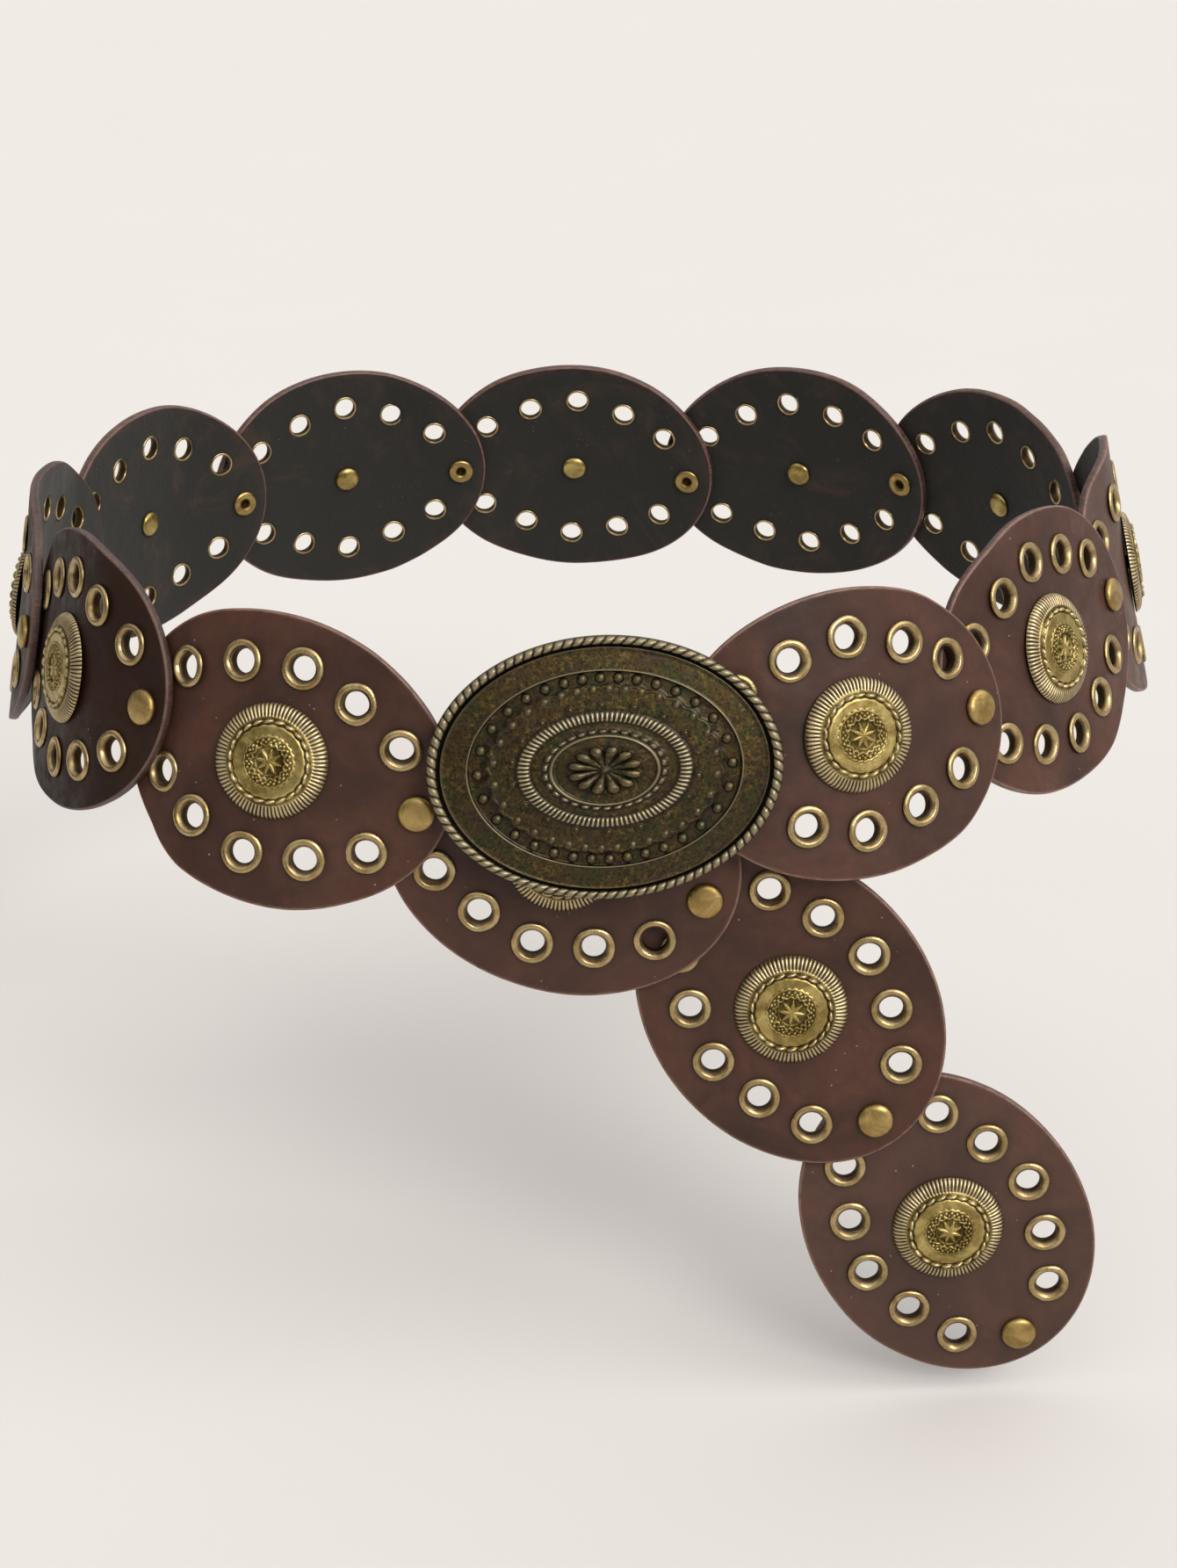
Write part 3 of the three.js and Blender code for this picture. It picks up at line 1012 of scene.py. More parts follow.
@dataclass
class GrommetSet:
    """The ten brass grommets of one disc, each a rounded flange and a short tube."""

    disc: LeatherDisc
    seed_step: int = 500
    sides: int = 30
    profile: tuple = ((3.0, -2.46), (3.3, -2.44), (3.5, -2.34), (3.52, -2.2), (3.16, -2.1),
                      (3.12, -0.4), (4.5, -0.22),
                      (4.96, -0.14), (5.07, 0.04), (5.02, 0.3), (4.82, 0.54), (4.5, 0.68),
                      (4.15, 0.74), (3.85, 0.7), (3.7, 0.6), (3.45, 0.3), (3.15, -0.12),
                      (2.95, -0.6), (2.86, -1.2), (2.84, -1.9), (2.88, -2.3), (3.0, -2.46))
    # Painted shade on the flange's rim where it meets the leather, down the funnel into the tube and on
    # the rolled end behind.
    patina_and_painted_shade_steps: tuple = (0.1, 0.0, 0.1, 0.5, 0.8, 0.9, 0.9, 0.8, 0.55, 0.2, 0.05, 0.0, 0.0, 0.05, 0.15,
                      0.2, 0.45, 0.75, 0.9, 0.9, 0.5, 0.1)

    def dress(self, finishes: Finishes) -> bpy.types.Object:
        """Sets the grommets in the leather, none of them quite true.

        Args:
            finishes: The belt's materials.

        Returns:
            The piece.
        """
        random = np.random.default_rng(self.disc.seed + self.seed_step)
        skin = Skin()
        for along, across in PATTERN.grommets():
            sink = float(self.disc.waviness(np.array([[along, across]]))[0])
            seat = self.disc.link.curl.seat(along, across, self.disc.thick + sink)
            tilt = random.normal(0, 1.1, 2)
            seat = seat @ turned("X", tilt[0]) @ turned("Y", tilt[1])
            lobes = random.integers(2, 6)
            depth, phase = random.uniform(0.003, 0.014), random.uniform(0, TURN)

            def sway(angle: np.ndarray) -> np.ndarray:
                """Slightly uneven rim."""
                return 1 + depth * np.sin(lobes * angle + phase)

            add_turned(skin, self.profile, self.sides, seat, sway, hollow=self.patina_and_painted_shade_steps)
        skin.place(self.disc.seat)
        piece = skin.piece("grommets_" + self.disc.link.place, [finishes.pale])
        return piece


# Conchos, rivets and the buckle


@dataclass
class Concho:
    """Round stamped concho: reeded border, lozenges, plain ring, lace and an eight-armed star."""

    place: str
    seat: Matrix
    twist: float
    radius: float = 13.5
    ribs: int = 82
    steps_per_rib: int = 4
    lozenges: int = 22
    beads: int = 24
    lace: int = 16
    arms: int = 8
    leather: float = 2.2

    def crown(self, share: np.ndarray) -> np.ndarray:
        """Height of the smooth form under the ornament.

        Args:
            share: Shares of the radius.

        Returns:
            The height at each of them.
        """
        shares = (0.0, 0.22, 0.25, 0.3, 0.4, 0.445, 0.47, 0.53, 0.61, 0.65, 0.74, 0.77,
                  0.82, 0.9, 0.95, 0.985, 1.0)
        heights = (3.1, 2.95, 3.1, 3.25, 3.15, 2.85, 2.72, 2.7, 2.68, 2.42, 2.42, 2.36,
                   2.25, 1.95, 1.55, 1.0, 0.55)
        return np.interp(share, shares, heights)

    def nearest(self, angle: np.ndarray, count: int, shift: float = 0.0) -> np.ndarray:
        """Angle from the nearest of some evenly spaced places round the concho."""
        part = angle * count / TURN + shift
        return (part - np.round(part)) * TURN / count

    def relief(self, share: np.ndarray, angle: np.ndarray) -> tuple:
        """Height and hollowness of the ornament.

        Args:
            share: Share of the radius of each point.
            angle: Angle of each point.

        Returns:
            Heights in millimetres, values from 0 on high places to 1 in hollows, and values from 0
            to 1 where the metal is rubbed bright, which also paint its highlights.
        """
        height = self.crown(share)
        hollow = 0.22 * smooth(0.63, 0.6, share)
        rubbed = np.zeros_like(height)

        border = smooth(0.765, 0.785, share) * smooth(1.03, 0.985, share)
        cut = (0.5 + 0.5 * np.cos(self.ribs * angle)) ** 1.3
        height = height - 0.42 * border * cut
        hollow = np.maximum(hollow, border * cut * 0.9)
        # Rib crests rubbed pale, partly painted highlights.
        rubbed = np.maximum(rubbed, border * (1 - cut) * 0.9)

        across = (share - 0.692) / 0.040
        along = self.nearest(angle, self.lozenges, 0.14 * across) / (TURN / self.lozenges) / 0.43
        lozenge = dome(across ** 2, along ** 2)
        bed = smooth(0.635, 0.65, share) * smooth(0.762, 0.735, share)
        height = height + 0.8 * lozenge + 0.1 * ridge(share - 0.74, 0.014)
        hollow = np.maximum(hollow, bed * (1 - smooth(0.0, 0.6, lozenge)) * 0.68)
        # Lozenge tops rubbed pale, partly painted highlights.
        rubbed = np.maximum(rubbed, 0.6 * smooth(0.4, 0.9, lozenge))
        plate = 0.622 + 0.016 * np.abs(np.sin(self.lozenges * angle / 2))
        height = height + 0.12 * smooth(0.02, 0.0, share - plate) * smooth(0.45, 0.47, share)
        hollow = np.maximum(hollow, 0.75 * ridge(share - plate - 0.012, 0.014))
        hollow = np.maximum(hollow, 0.6 * ridge(share - 0.757, 0.012))

        lace = smooth(0.468, 0.456, share) * smooth(0.225, 0.245, share)
        scallop = ridge(share - 0.43 - 0.016 * np.abs(np.cos(self.beads * angle / 2)), 0.018)
        spot = share * self.nearest(angle, self.beads)
        bead = dome((spot ** 2 + (share - 0.385) ** 2) / 0.026 ** 2)
        spot = share * self.nearest(angle, self.beads, 0.5)
        small = dome((spot ** 2 + (share - 0.342) ** 2) / 0.022 ** 2)
        zigzag = 0.272 + 0.045 * np.abs(self.nearest(angle, self.lace)) / (TURN / self.lace) * 2
        raised = np.maximum.reduce([scallop, bead, small, ridge(share - zigzag, 0.018)])
        height = height + lace * (0.34 * raised - 0.1)
        hollow = np.maximum(hollow, lace * (1 - smooth(0.05, 0.5, raised)) * 0.65)

        side = share * np.abs(np.sin(self.nearest(angle, self.arms)))
        width = 0.040 * np.sin(np.clip(share / 0.232, 0, 1) * math.pi) ** 0.7 + 0.004
        star = ridge(side, width) * smooth(0.236, 0.21, share)
        star = np.maximum(star, smooth(0.055, 0.03, share))
        bowl = smooth(0.25, 0.215, share)
        height = height + bowl * (0.55 * star - 0.28)
        hollow = np.maximum(hollow, (1 - smooth(0.1, 0.6, star)) * bowl * 0.6)
        return height, np.clip(hollow, 0, 1), rubbed

    def face(self, skin: Skin) -> None:
        """Adds the stamped face, with its outer ring first.

        Args:
            skin: The skin that takes it.
        """
        fine = self.ribs * self.steps_per_rib
        coarse = fine // 2
        border = np.array([1.0, 0.992, 0.975, 0.95, 0.92, 0.885, 0.845, 0.81, 0.79, 0.775, 0.764,
                           0.754])
        middle = np.concatenate([np.linspace(0.744, 0.61, 18), [0.59, 0.555, 0.52, 0.485, 0.468],
                                 np.linspace(0.456, 0.018, 36)])
        self.add_rings(skin, border, fine)
        first_coarse = self.add_rings(skin, middle, coarse)
        last_fine = (len(border) - 1) * fine
        seam = []
        for i in range(coarse):
            a, b, c = last_fine + 2 * i, last_fine + 2 * i + 1, last_fine + (2 * i + 2) % fine
            p, q = first_coarse + i, first_coarse + (i + 1) % coarse
            seam += [(a, b, p), (b, q, p), (b, c, q)]
        skin.join(seam)
        height, hollow, rubbed = self.relief(np.zeros(1), np.zeros(1))
        last = skin.count - coarse
        centre = skin.add(np.array([[0, 0, height[0]]]), [], hollow=hollow, rubbed=rubbed)
        skin.join(cap_faces(centre, list(range(last, last + coarse))))

    def add_rings(self, skin: Skin, shares: np.ndarray, count: int) -> int:
        """Adds rings of the stamped face, from the outside inwards.

        Args:
            skin: The skin that takes them.
            shares: Share of the radius of each ring.
            count: Number of points in each ring.

        Returns:
            The number of their first point.
        """
        share, angle = np.meshgrid(shares, around(count), indexing="ij")
        height, hollow, rubbed = self.relief(share, angle)
        points = oval(angle, share * self.radius, share * self.radius, height)
        return skin.add(points.reshape(-1, 3), band_faces(len(shares), count),
                        hollow=hollow.ravel(), rubbed=rubbed.ravel())

    def dress(self, finishes: Finishes) -> bpy.types.Object:
        """Sets the concho on its disc, with its post and the domed stud behind.

        Args:
            finishes: The belt's materials.

        Returns:
            The piece.
        """
        skin = Skin()
        self.face(skin)
        fine = self.ribs * self.steps_per_rib
        rings = [oval(around(fine), radius, radius, height)
                 for radius, height in ((12.6, 0.32), (13.3, 0.3), (13.5, 0.42))]
        # Painted shade on the concho's edge wall and on its underside, over the leather.
        wall = skin.add(np.vstack(rings), band_faces(3, fine), hollow=0.9)
        skin.join(bridge_faces(wall + 2 * fine, 0, fine))
        under = skin.add(np.array([[0, 0, 0.5]]), [], hollow=1.0)
        skin.join(cap_faces(under, list(range(wall + fine - 1, wall - 1, -1))))
        back = -self.leather
        stud = ((0.001, back - 1.72), (1.3, back - 1.68), (2.4, back - 1.5), (3.1, back - 1.2),
                (3.5, back - 0.8), (3.65, back - 0.4), (3.5, back - 0.2), (1.7, back - 0.15), (1.7, 0.5))
        # Painted shade on the stud behind, darkest towards the leather.
        add_turned(skin, stud, 32, Matrix(), hollow=(0.0, 0.0, 0.0, 0.1, 0.15, 0.3, 0.7, 1, 1))
        skin.place(self.seat @ turned("Z", self.twist))
        piece = skin.piece("concho_face_" + self.place, [finishes.antique])
        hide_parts("concho_" + self.place)
        return piece


@dataclass
class Rivet:
    """Rivet through a stack of leather: smooth domed head outside, rolled tube end inside."""

    place: str
    seat: Matrix
    stack: float
    sides: int = 40
    head: tuple = ((1.7, -0.2), (4.0, -0.04), (4.2, 0.08), (4.29, 0.32), (4.3, 0.7), (4.2, 1.05),
                   (3.95, 1.4), (3.55, 1.66), (2.9, 1.85), (2.0, 1.97), (1.0, 2.04), (0.001, 2.06))
    # Painted shade on the head's rim, darkest where it meets the leather.
    head_patina_and_painted_shade: tuple = (1, 1, 0.9, 0.6, 0.4, 0.22, 0.08, 0, 0, 0, 0, 0)

    def dress(self, finishes: Finishes) -> bpy.types.Object:
        """Sets the rivet with its head on the outer leather.

        Args:
            finishes: The belt's materials.

        Returns:
            The piece.
        """
        skin = Skin()
        add_turned(skin, self.head, self.sides, Matrix(), hollow=self.head_patina_and_painted_shade)
        back = -self.stack - 0.25
        tube = ((0.001, back + 0.5), (0.95, back + 0.45), (1.15, back), (1.35, back - 0.45),
                (1.9, back - 0.8), (2.6, back - 0.98), (3.2, back - 0.9), (3.6, back - 0.6),
                (3.72, back - 0.25), (3.6, back), (1.7, back + 0.05), (1.7, -0.2))
        # Painted shade inside the tube and on the rolled end where it meets the leather.
        patina_and_painted_shade_steps = (1, 1, 0.9, 0.6, 0.2, 0, 0, 0.1, 0.25, 0.6, 1, 1)
        add_turned(skin, tube, self.sides, Matrix(), hollow=patina_and_painted_shade_steps)
        skin.place(self.seat)
        piece = skin.piece("rivet_head_" + self.place, [finishes.golden])
        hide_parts("rivet_" + self.place)
        return piece


@dataclass
class OvalBuckle:
    """Cast oval buckle: rope border, bead rings, reeded oval and a daisy, in relief on a low dome."""

    seat: Matrix
    post_seat: Matrix
    hook_seat: Matrix
    half_width: float = 40.5
    half_height: float = 30.1
    strands: int = 94
    steps_per_strand: int = 6
    outer_beads: int = 32
    inner_beads: int = 30
    studs: int = 18
    petals: int = 12

    def half_axes(self, share: float | np.ndarray) -> tuple:
        """Half axes of the ovals, which grow longer inwards.

        Args:
            share: Shares of the half width.

        Returns:
            The half axes along x and y for each of them.
        """
        shares = (0, 0.21, 0.30, 0.33, 0.42, 0.485, 0.60, 0.712, 0.772, 0.925, 0.94, 1.0)
        heights = (0, 5.6, 7.75, 8.75, 10.95, 13.0, 17.3, 20.7, 22.5, 27.75, 28.15, 30.1)
        return share * self.half_width, np.interp(share, shares, heights)

    def base(self, share: float | np.ndarray) -> float | np.ndarray:
        """Height of the smooth dome under the ornament.

        Args:
            share: Shares of the half width.

        Returns:
            The height at each of them.
        """
        shares = (0, 0.22, 0.28, 0.41, 0.5, 0.62, 0.72, 0.78, 0.85, 0.915, 0.935, 1.0)
        heights = (5.5, 5.35, 5.2, 4.95, 4.6, 4.25, 3.75, 3.6, 3.3, 2.95, 2.5, 2.4)
        return np.interp(share, shares, heights)

    def relief(self, share: np.ndarray, step: np.ndarray, angle: np.ndarray) -> tuple:
        """Height, hollowness and rubbing of the ornament, where the rubbing also paints highlights.

        Args:
            share: Share of the half width of each point's oval.
            step: How far round the oval the point is, from 0 to 1.
            angle: The point's angle on its oval.

        Returns:
            Heights in millimetres, and two values from 0 to 1.
        """
        height = self.base(share)
        hollow = np.zeros_like(height)
        rubbed = np.zeros_like(height)

        across = (share - 0.97) / 0.031
        rope = ridge(share - 0.97, 0.031)
        phase = self.strands * step + 0.30 * across + 0.06 * across ** 3
        gap = 1 - np.abs(np.sin(math.pi * phase))
        valley = gap ** 2.2
        height = height + 1.5 * rope - 0.65 * valley * (0.4 + 0.6 * rope) * (share > 0.939)
        on_rope = smooth(0.937, 0.945, share)
        hollow = np.maximum(hollow, on_rope * smooth(0.25, 0.75, valley))
        # Rope crests rubbed pale, partly painted highlights.
        rubbed = np.maximum(rubbed, on_rope * smooth(0.25, 0.8, rope) * smooth(0.6, 0.1, valley) * 0.5)
        channel = ridge(share - 0.934, 0.010)
        height = height - 0.35 * channel
        hollow = np.maximum(hollow, channel)
        for line, half, rise, shine in ((0.921, 0.007, 0.25, 0.1), (0.772, 0.008, 0.5, 0.3),
                                        (0.301, 0.013, 0.8, 0.35)):
            raised = ridge(share - line, half)
            height = height + rise * raised
            # Raised lines rubbed pale, partly painted highlights.
            rubbed = np.maximum(rubbed, shine * smooth(0.2, 0.8, raised))

        reeded = ridge(share - 0.455, 0.036)
        rib = 0.5 + 0.5 * np.cos(TURN * self.strands * step)
        height = height + reeded * (0.85 - 0.45 * rib ** 1.5)
        hollow = np.maximum(hollow, smooth(0.1, 0.5, reeded) * rib ** 1.8 * 0.9)
        # Reeded rib crests rubbed pale, partly painted highlights.
        rubbed = np.maximum(rubbed, smooth(0.25, 0.7, reeded) * (1 - rib) * 0.9)
        for place, half in ((0.499, 0.010), (0.411, 0.010), (0.318, 0.006), (0.345, 0.01)):
            hollow = np.maximum(hollow, 0.65 * ridge(share - place, half))

        bead = np.abs(np.sin(math.pi * self.inner_beads * step))
        beads = ridge(share - 0.335, 0.018)
        height = height + 0.5 * beads * bead ** 0.8
        # Bead tops rubbed pale, partly painted highlights.
        rubbed = np.maximum(rubbed, smooth(0.3, 0.9, beads) * smooth(0.5, 0.95, bead) * 0.4)
        hollow = np.maximum(hollow, smooth(0.1, 0.6, beads) * smooth(0.45, 0.05, bead) * 0.8)

        scallop = 0.652 + 0.02 * np.abs(np.sin(self.outer_beads * angle / 2))
        trench = smooth(-0.012, 0.012, share - scallop) * smooth(0.768, 0.755, share)
        height = height - 0.38 * trench
        hollow = np.maximum(hollow, 0.2 * trench)
        hollow = np.maximum(hollow, 0.6 * ridge(share - scallop - 0.012, 0.012))
        hollow = np.maximum(hollow, 0.55 * ridge(share - 0.761, 0.007))
        height = height + 0.16 * ridge(share - scallop + 0.012, 0.012)

        part = angle * self.petals / TURN + 0.5
        off_axis = np.abs(part - np.round(part)) * 2
        reach = share / 0.212
        tip = ridge(np.clip(reach - 0.72, 0, None), 0.28)
        width = np.where(reach > 0.72, 0.94 * tip, 0.62 + 0.32 * reach / 0.72) + 1e-3
        leaf = ridge(off_axis, width) * smooth(0.1, 0.3, reach) * (reach < 1)
        swell = (0.2 + 0.8 * smooth(0.3, 0.75, reach)) * tip ** 0.6
        boss = smooth(0.17, 0.07, reach)
        height = height + 1.15 * leaf * swell + 0.55 * boss
        gaps = (1 - smooth(0.0, 0.5, leaf)) * (1 - boss) * smooth(1.09, 0.98, reach)
        hollow = np.maximum(hollow, gaps * (0.55 + 0.4 * smooth(0.95, 0.6, reach)))
        # Painted highlight on each petal's bulb.
        rubbed = np.maximum(rubbed, smooth(0.55, 1.0, leaf * swell) * 0.12)
        return height, np.clip(hollow, 0, 1), np.clip(rubbed, 0, 1)

    def add_front(self, skin: Skin) -> int:
        """Adds the whole relief.

        Args:
            skin: The skin that takes it.

        Returns:
            The number of points in each ring, whose outermost comes first.
        """
        count = self.strands * self.steps_per_strand
        shares = np.concatenate([
            1 - 0.06 * (0.5 - 0.5 * np.cos(np.linspace(0, math.pi, 13))),
            [0.936, 0.932, 0.928, 0.925, 0.921, 0.917, 0.912, 0.89, 0.86, 0.83, 0.80],
            [0.784, 0.78, 0.776, 0.772, 0.768, 0.764, 0.758, 0.75, 0.735, 0.715, 0.7, 0.685, 0.672],
            np.linspace(0.665, 0.63, 8), [0.61, 0.58, 0.555, 0.53], np.linspace(0.512, 0.40, 20),
            [0.385, 0.365], np.linspace(0.352, 0.286, 19), [0.275, 0.26, 0.245, 0.233],
            np.linspace(0.224, 0.13, 17), np.linspace(0.122, 0.012, 10)])
        share, step = np.meshgrid(shares, np.arange(count) / count, indexing="ij")
        angle = np.broadcast_to(even_angles(self.half_width, self.half_height, count), share.shape)
        height, hollow, rubbed = self.relief(share, step, angle)
        points = oval(angle, *self.half_axes(share), height)
        skin.add(points.reshape(-1, 3), band_faces(len(shares), count), hollow=hollow.ravel(),
                 rubbed=rubbed.ravel())
        last = (len(shares) - 1) * count
        # Boss top rubbed pale, partly a painted highlight.
        centre = skin.add(np.array([[0, 0, self.base(0.0) + 0.5]]), [], rubbed=0.4)
        skin.join(cap_faces(centre, list(range(last, last + count))))
        return count

    def add_beads(self, skin: Skin) -> None:
        """Adds the two rings of round beads, the inner ring set between the outer one's beads.

        Args:
            skin: The skin that takes them.
        """
        rings = ((0.712, 0.688, 1.3, 0.0, 0.66), (0.626, 0.604, 1.22, 0.5, 0.55))
        for wide, high, radius, shift, lift in rings:
            for number in range(self.outer_beads):
                ray = (number + shift) * TURN / self.outer_beads
                a, b = wide * self.half_width, high * self.half_height
                reach = a * b / math.hypot(b * math.cos(ray), a * math.sin(ray))
                x, y = reach * math.cos(ray), reach * math.sin(ray)
                height = self.base(wide) - 0.3
                rise = np.linspace(0, math.pi / 2, 7)
                profile = [(radius * math.cos(t), lift * radius * math.sin(t) ** 1.3) for t in rise[:-1]]
                profile.append((0.001, lift * radius))
                # Bead bases darkened with patina and painted shade, bead tops paler with painted
                # highlights.
                patina_and_painted_shade_steps = (1.0, 0.75, 0.3, 0.0, 0.0, 0.0, 0.0)
                rubs_and_highlights = (0.0, 0.0, 0.0, 0.0, 0.05, 0.1, 0.1)
                add_turned(skin, profile, 16, moved(x, y, height), hollow=patina_and_painted_shade_steps, rubbed=rubs_and_highlights)

    def add_studs(self, skin: Skin) -> None:
        """Adds the small studs round the reeded oval.

        Args:
            skin: The skin that takes them.
        """
        profile = ((1.25, 0.08), (1.1, 0.3), (0.95, 0.34), (0.8, 0.22), (0.6, 0.3), (0.3, 0.42),
                   (0.001, 0.45))
        wide, high = self.half_axes(0.525)
        height = self.base(0.52) - 0.1
        for number in range(self.studs):
            angle = (number + 0.5) * TURN / self.studs
            x, y = wide * math.cos(angle), high * math.sin(angle)
            add_turned(skin, profile, 16, moved(x, y, height), hollow=(0.9, 0.4, 0, 0.7, 0.1, 0, 0))

    def add_back(self, skin: Skin, count: int) -> None:
        """Adds the side wall, the slightly dished back, the flanged post and the plain hook.

        Args:
            skin: The skin that takes them, with the front's outermost ring first in it.
            count: Number of points in that ring.
        """
        angle = even_angles(self.half_width, self.half_height, count)
        wall = ((3.0, 0.9), (2.6, 0.15), (1.6, 0.0), (0.35, 0.0), (0.06, 0.25), (0.0, 1.2))
        rings = [oval(angle, self.half_width - inset, self.half_height - inset, height)
                 for inset, height in wall]
        # Side wall paler all round, partly a painted highlight on its rim.
        first = skin.add(np.vstack(rings), band_faces(len(rings), count), rubbed=0.45)
        last = first + (len(rings) - 1) * count
        skin.join(bridge_faces(last, 0, count))
        centre = skin.add(np.array([[0, 0, 1.6]]), [], hollow=0.2)
        skin.join(cap_faces(centre, list(range(first + count - 1, first - 1, -1))))
        behind = -2.5
        post = ((0.001, behind - 1.0), (2.9, behind - 1.0), (3.35, behind - 0.75), (3.4, behind - 0.2),
                (3.2, behind), (1.7, behind), (1.7, 4.0))
        add_turned(skin, post, 28, self.post_seat, hollow=0.2, rubbed=0.2)
        hook = ((0.001, -5.2), (1.1, -5.1), (1.7, -4.7), (1.9, -4.1), (1.9, 4.0))
        add_turned(skin, hook, 28, self.hook_seat, hollow=0.2, rubbed=0.2)

    def dress(self, finishes: Finishes) -> bpy.types.Object:
        """Sets the buckle over the join of the first disc.

        Args:
            finishes: The belt's materials.

        Returns:
            The piece.
        """
        skin = Skin()
        count = self.add_front(skin)
        self.add_beads(skin)
        self.add_studs(skin)
        self.add_back(skin, count)
        skin.place(self.seat)
        piece = skin.piece("oval_buckle", [finishes.bronze])
        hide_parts("buckle")
        return piece


# The whole belt and its studio


@dataclass
class Belt:
    """The discs with their metal, and the buckle that closes the ring."""

    chain: Chain
    finishes: Finishes
    seed: int = 77
    first_disc_seed: int = 100
    buckle_from_post: tuple = (-23.4, 0.8, 0.6)
    buckle_yaw: float = -2.0
    buckle_roll: float = -4.0
    hooked_place: str = "under_buckle"
    hooked_grommet: tuple = (-14.1, 19.2)

    def build(self) -> None:
        """Makes every piece and reports it."""
        frames = self.chain.frames()
        random = np.random.default_rng(self.seed)
        parts: list = []
        for number, link in enumerate(self.chain.links):
            seat = frames[link.place]
            disc = LeatherDisc(link, seat, self.first_disc_seed + number)
            stack = self.chain.leather
            if number < len(self.chain.links) - 1:
                stack += self.chain.layer_step
            concho_seat = seat @ link.curl.station(0, out=self.chain.leather)
            rivet_seat = seat @ link.curl.station(self.chain.pitch / 2, out=self.chain.leather)
            parts += [disc, GrommetSet(disc), Concho(link.place, concho_seat, random.uniform(0, 360)),
                      Rivet(link.place, rivet_seat, stack)]
        for part in (*parts, self.buckle(frames)):
            piece = part.dress(self.finishes)
            report.info("%s: %d faces", piece.name, len(piece.data.polygons))

    def buckle(self, frames: dict) -> OvalBuckle:
        """The buckle, on the first disc's free rivet hole and hooked into the disc below.

        Args:
            frames: Frame of each disc.

        Returns:
            The buckle, ready to be dressed.
        """
        curls = {link.place: link.curl for link in self.chain.links}
        first = self.chain.links[0]
        post = frames[first.place] @ first.curl.station(-self.chain.pitch / 2, out=self.chain.leather)
        seat = post @ moved(*self.buckle_from_post) @ turned("Y", self.buckle_yaw)
        seat = seat @ turned("Z", self.buckle_roll)
        hook = frames[self.hooked_place] @ curls[self.hooked_place].station(
            *self.hooked_grommet, out=self.chain.leather)
        return OvalBuckle(seat, seat.inverted() @ post, seat.inverted() @ hook)


@dataclass(frozen=True)
class Lamp:
    """Broad far lamp, soft by the width that it has as seen from the belt."""

    name: str
    heading: float
    height: float
    width: float
    strength: float
    colour: tuple = (1.0, 1.0, 1.0)

    def hang(self) -> None:
        """Puts the lamp up, at degrees to the right of the front and over the horizon."""
        data = bpy.data.lights.new(self.name, "SUN")
        data.angle = math.radians(self.width)
        data.energy = self.strength
        data.color = self.colour
        lamp = bpy.data.objects.new(self.name, data)
        lamp.rotation_euler = (math.radians(90 - self.height), 0.0, math.radians(self.heading))
        lamp.location = (0.5 * math.sin(math.radians(self.heading)), -0.5, 0.8)
        bpy.context.scene.collection.objects.link(lamp)


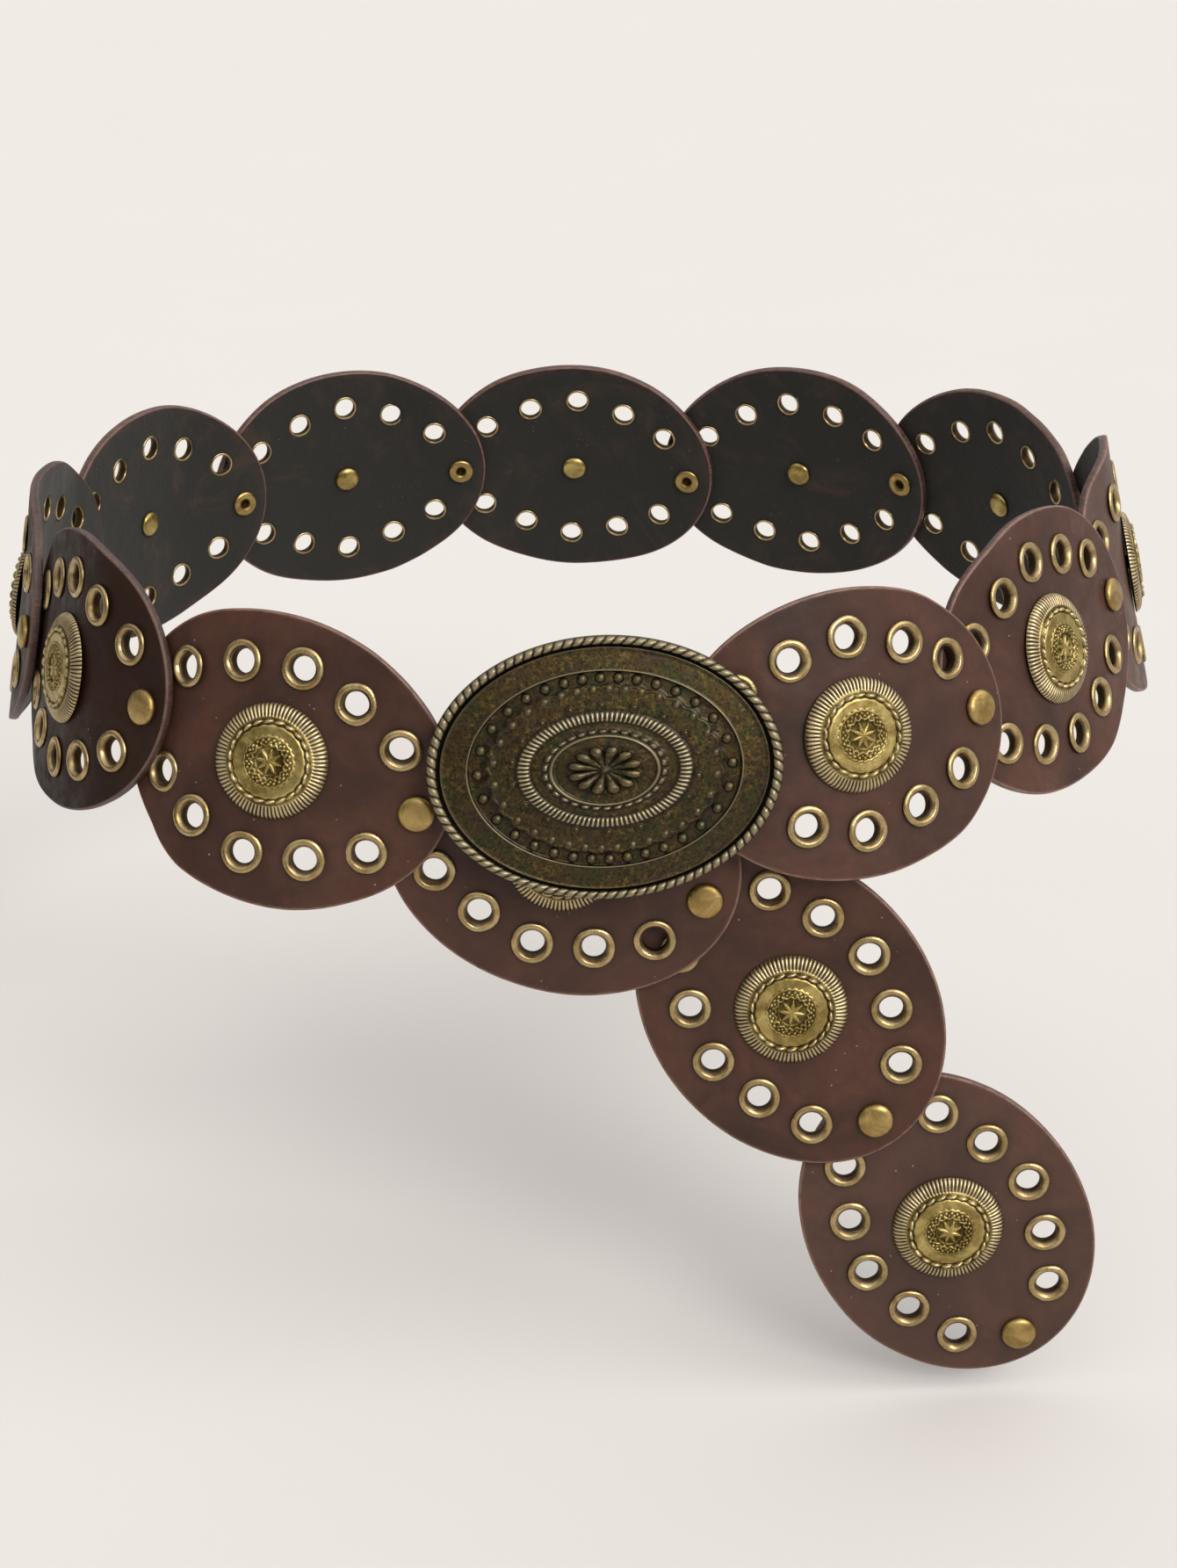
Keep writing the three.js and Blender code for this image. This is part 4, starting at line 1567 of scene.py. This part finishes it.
@dataclass(frozen=True)
class Studio:
    """Pale floor, soft lamps and the camera at the photograph's angle."""

    floor_height: float = -0.172
    floor_half: float = 12.0
    eye: tuple = (0.0101, -0.7155, 0.2412)
    right: tuple = (0.9996, 0.0, -0.0268)
    up: tuple = (0.0247, 0.3861, 0.9221)
    ahead: tuple = (-0.0103, 0.9224, -0.386)
    lens: float = 64.66
    overhead: float = 0.88
    left_side: float = 0.02
    right_side: float = 0.6
    sky: tuple = (1.0, 0.985, 0.965, 1.0)
    lamps: tuple = (
        Lamp("lamp_front_right", 30, 34, 24, 1.55, (1.0, 0.985, 0.95)),
        Lamp("lamp_high_right", 66, 45, 34, 0.85, (1.0, 0.985, 0.96)),
    )

    def lay_floor(self) -> None:
        """Lays the floor, a wide plain sheet."""
        half, z = self.floor_half, self.floor_height
        mesh = bpy.data.meshes.new("floor")
        mesh.from_pydata([(-half, -half, z), (half, -half, z), (half, half, z), (-half, half, z)], [],
                         [(0, 1, 2, 3)])
        recipe = Recipe("floor_paper", "cdc9c6")
        recipe.paint(recipe.span(recipe.noise(160, 3, 0.5), 0.2, 0.8), "cecac7")
        mesh.materials.append(recipe.finished(Roughness=0.9, Specular_IOR_Level=0.1))
        floor = bpy.data.objects.new("floor", mesh)
        bpy.context.scene.collection.objects.link(floor)

    def light(self) -> None:
        """Hangs the lamps in a pale surround that is brightest overhead."""
        world = bpy.data.worlds.new("surround")
        world.use_nodes = True
        nodes = Nodes(world.node_tree)
        place = {"Vector": nodes.node("TexCoord", "Generated", {})}
        side = nodes.ramp(nodes.node("SeparateXYZ", "X", place), -0.8, 0.9, self.left_side,
                          self.right_side)
        rise = nodes.ramp(nodes.node("SeparateXYZ", "Z", place), 0.05, 0.8, 0.0, self.overhead)
        background = world.node_tree.nodes["Background"]
        nodes.feed(background.inputs["Color"], self.sky)
        nodes.feed(background.inputs["Strength"], nodes.sum(side, rise))
        bpy.context.scene.world = world
        for lamp in self.lamps:
            lamp.hang()

    def set_camera(self) -> None:
        """Stands the camera where the photograph was taken from."""
        data = bpy.data.cameras.new("camera")
        data.sensor_fit = "AUTO"
        data.sensor_width = 36.0
        data.lens = self.lens
        data.clip_start = 0.02
        data.clip_end = 60.0
        camera = bpy.data.objects.new("camera", data)
        axes = Matrix((self.right, self.up, [-c for c in self.ahead])).transposed()
        camera.matrix_world = Matrix.Translation(self.eye) @ axes.to_4x4()
        bpy.context.scene.collection.objects.link(camera)
        bpy.context.scene.camera = camera

    def build(self) -> None:
        """Makes the whole studio."""
        self.lay_floor()
        self.light()
        self.set_camera()
        view = bpy.context.scene.view_settings
        view.view_transform = "Standard"
        report.info("studio: %d lamps", len(self.lamps))


def main() -> None:
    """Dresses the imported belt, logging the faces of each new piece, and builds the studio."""
    logging.basicConfig(level=logging.INFO, format="%(name)s: %(message)s")
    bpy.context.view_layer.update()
    Belt(CHAIN, Finishes.made()).build()
    Studio().build()


if __name__ == "__main__":
    main()
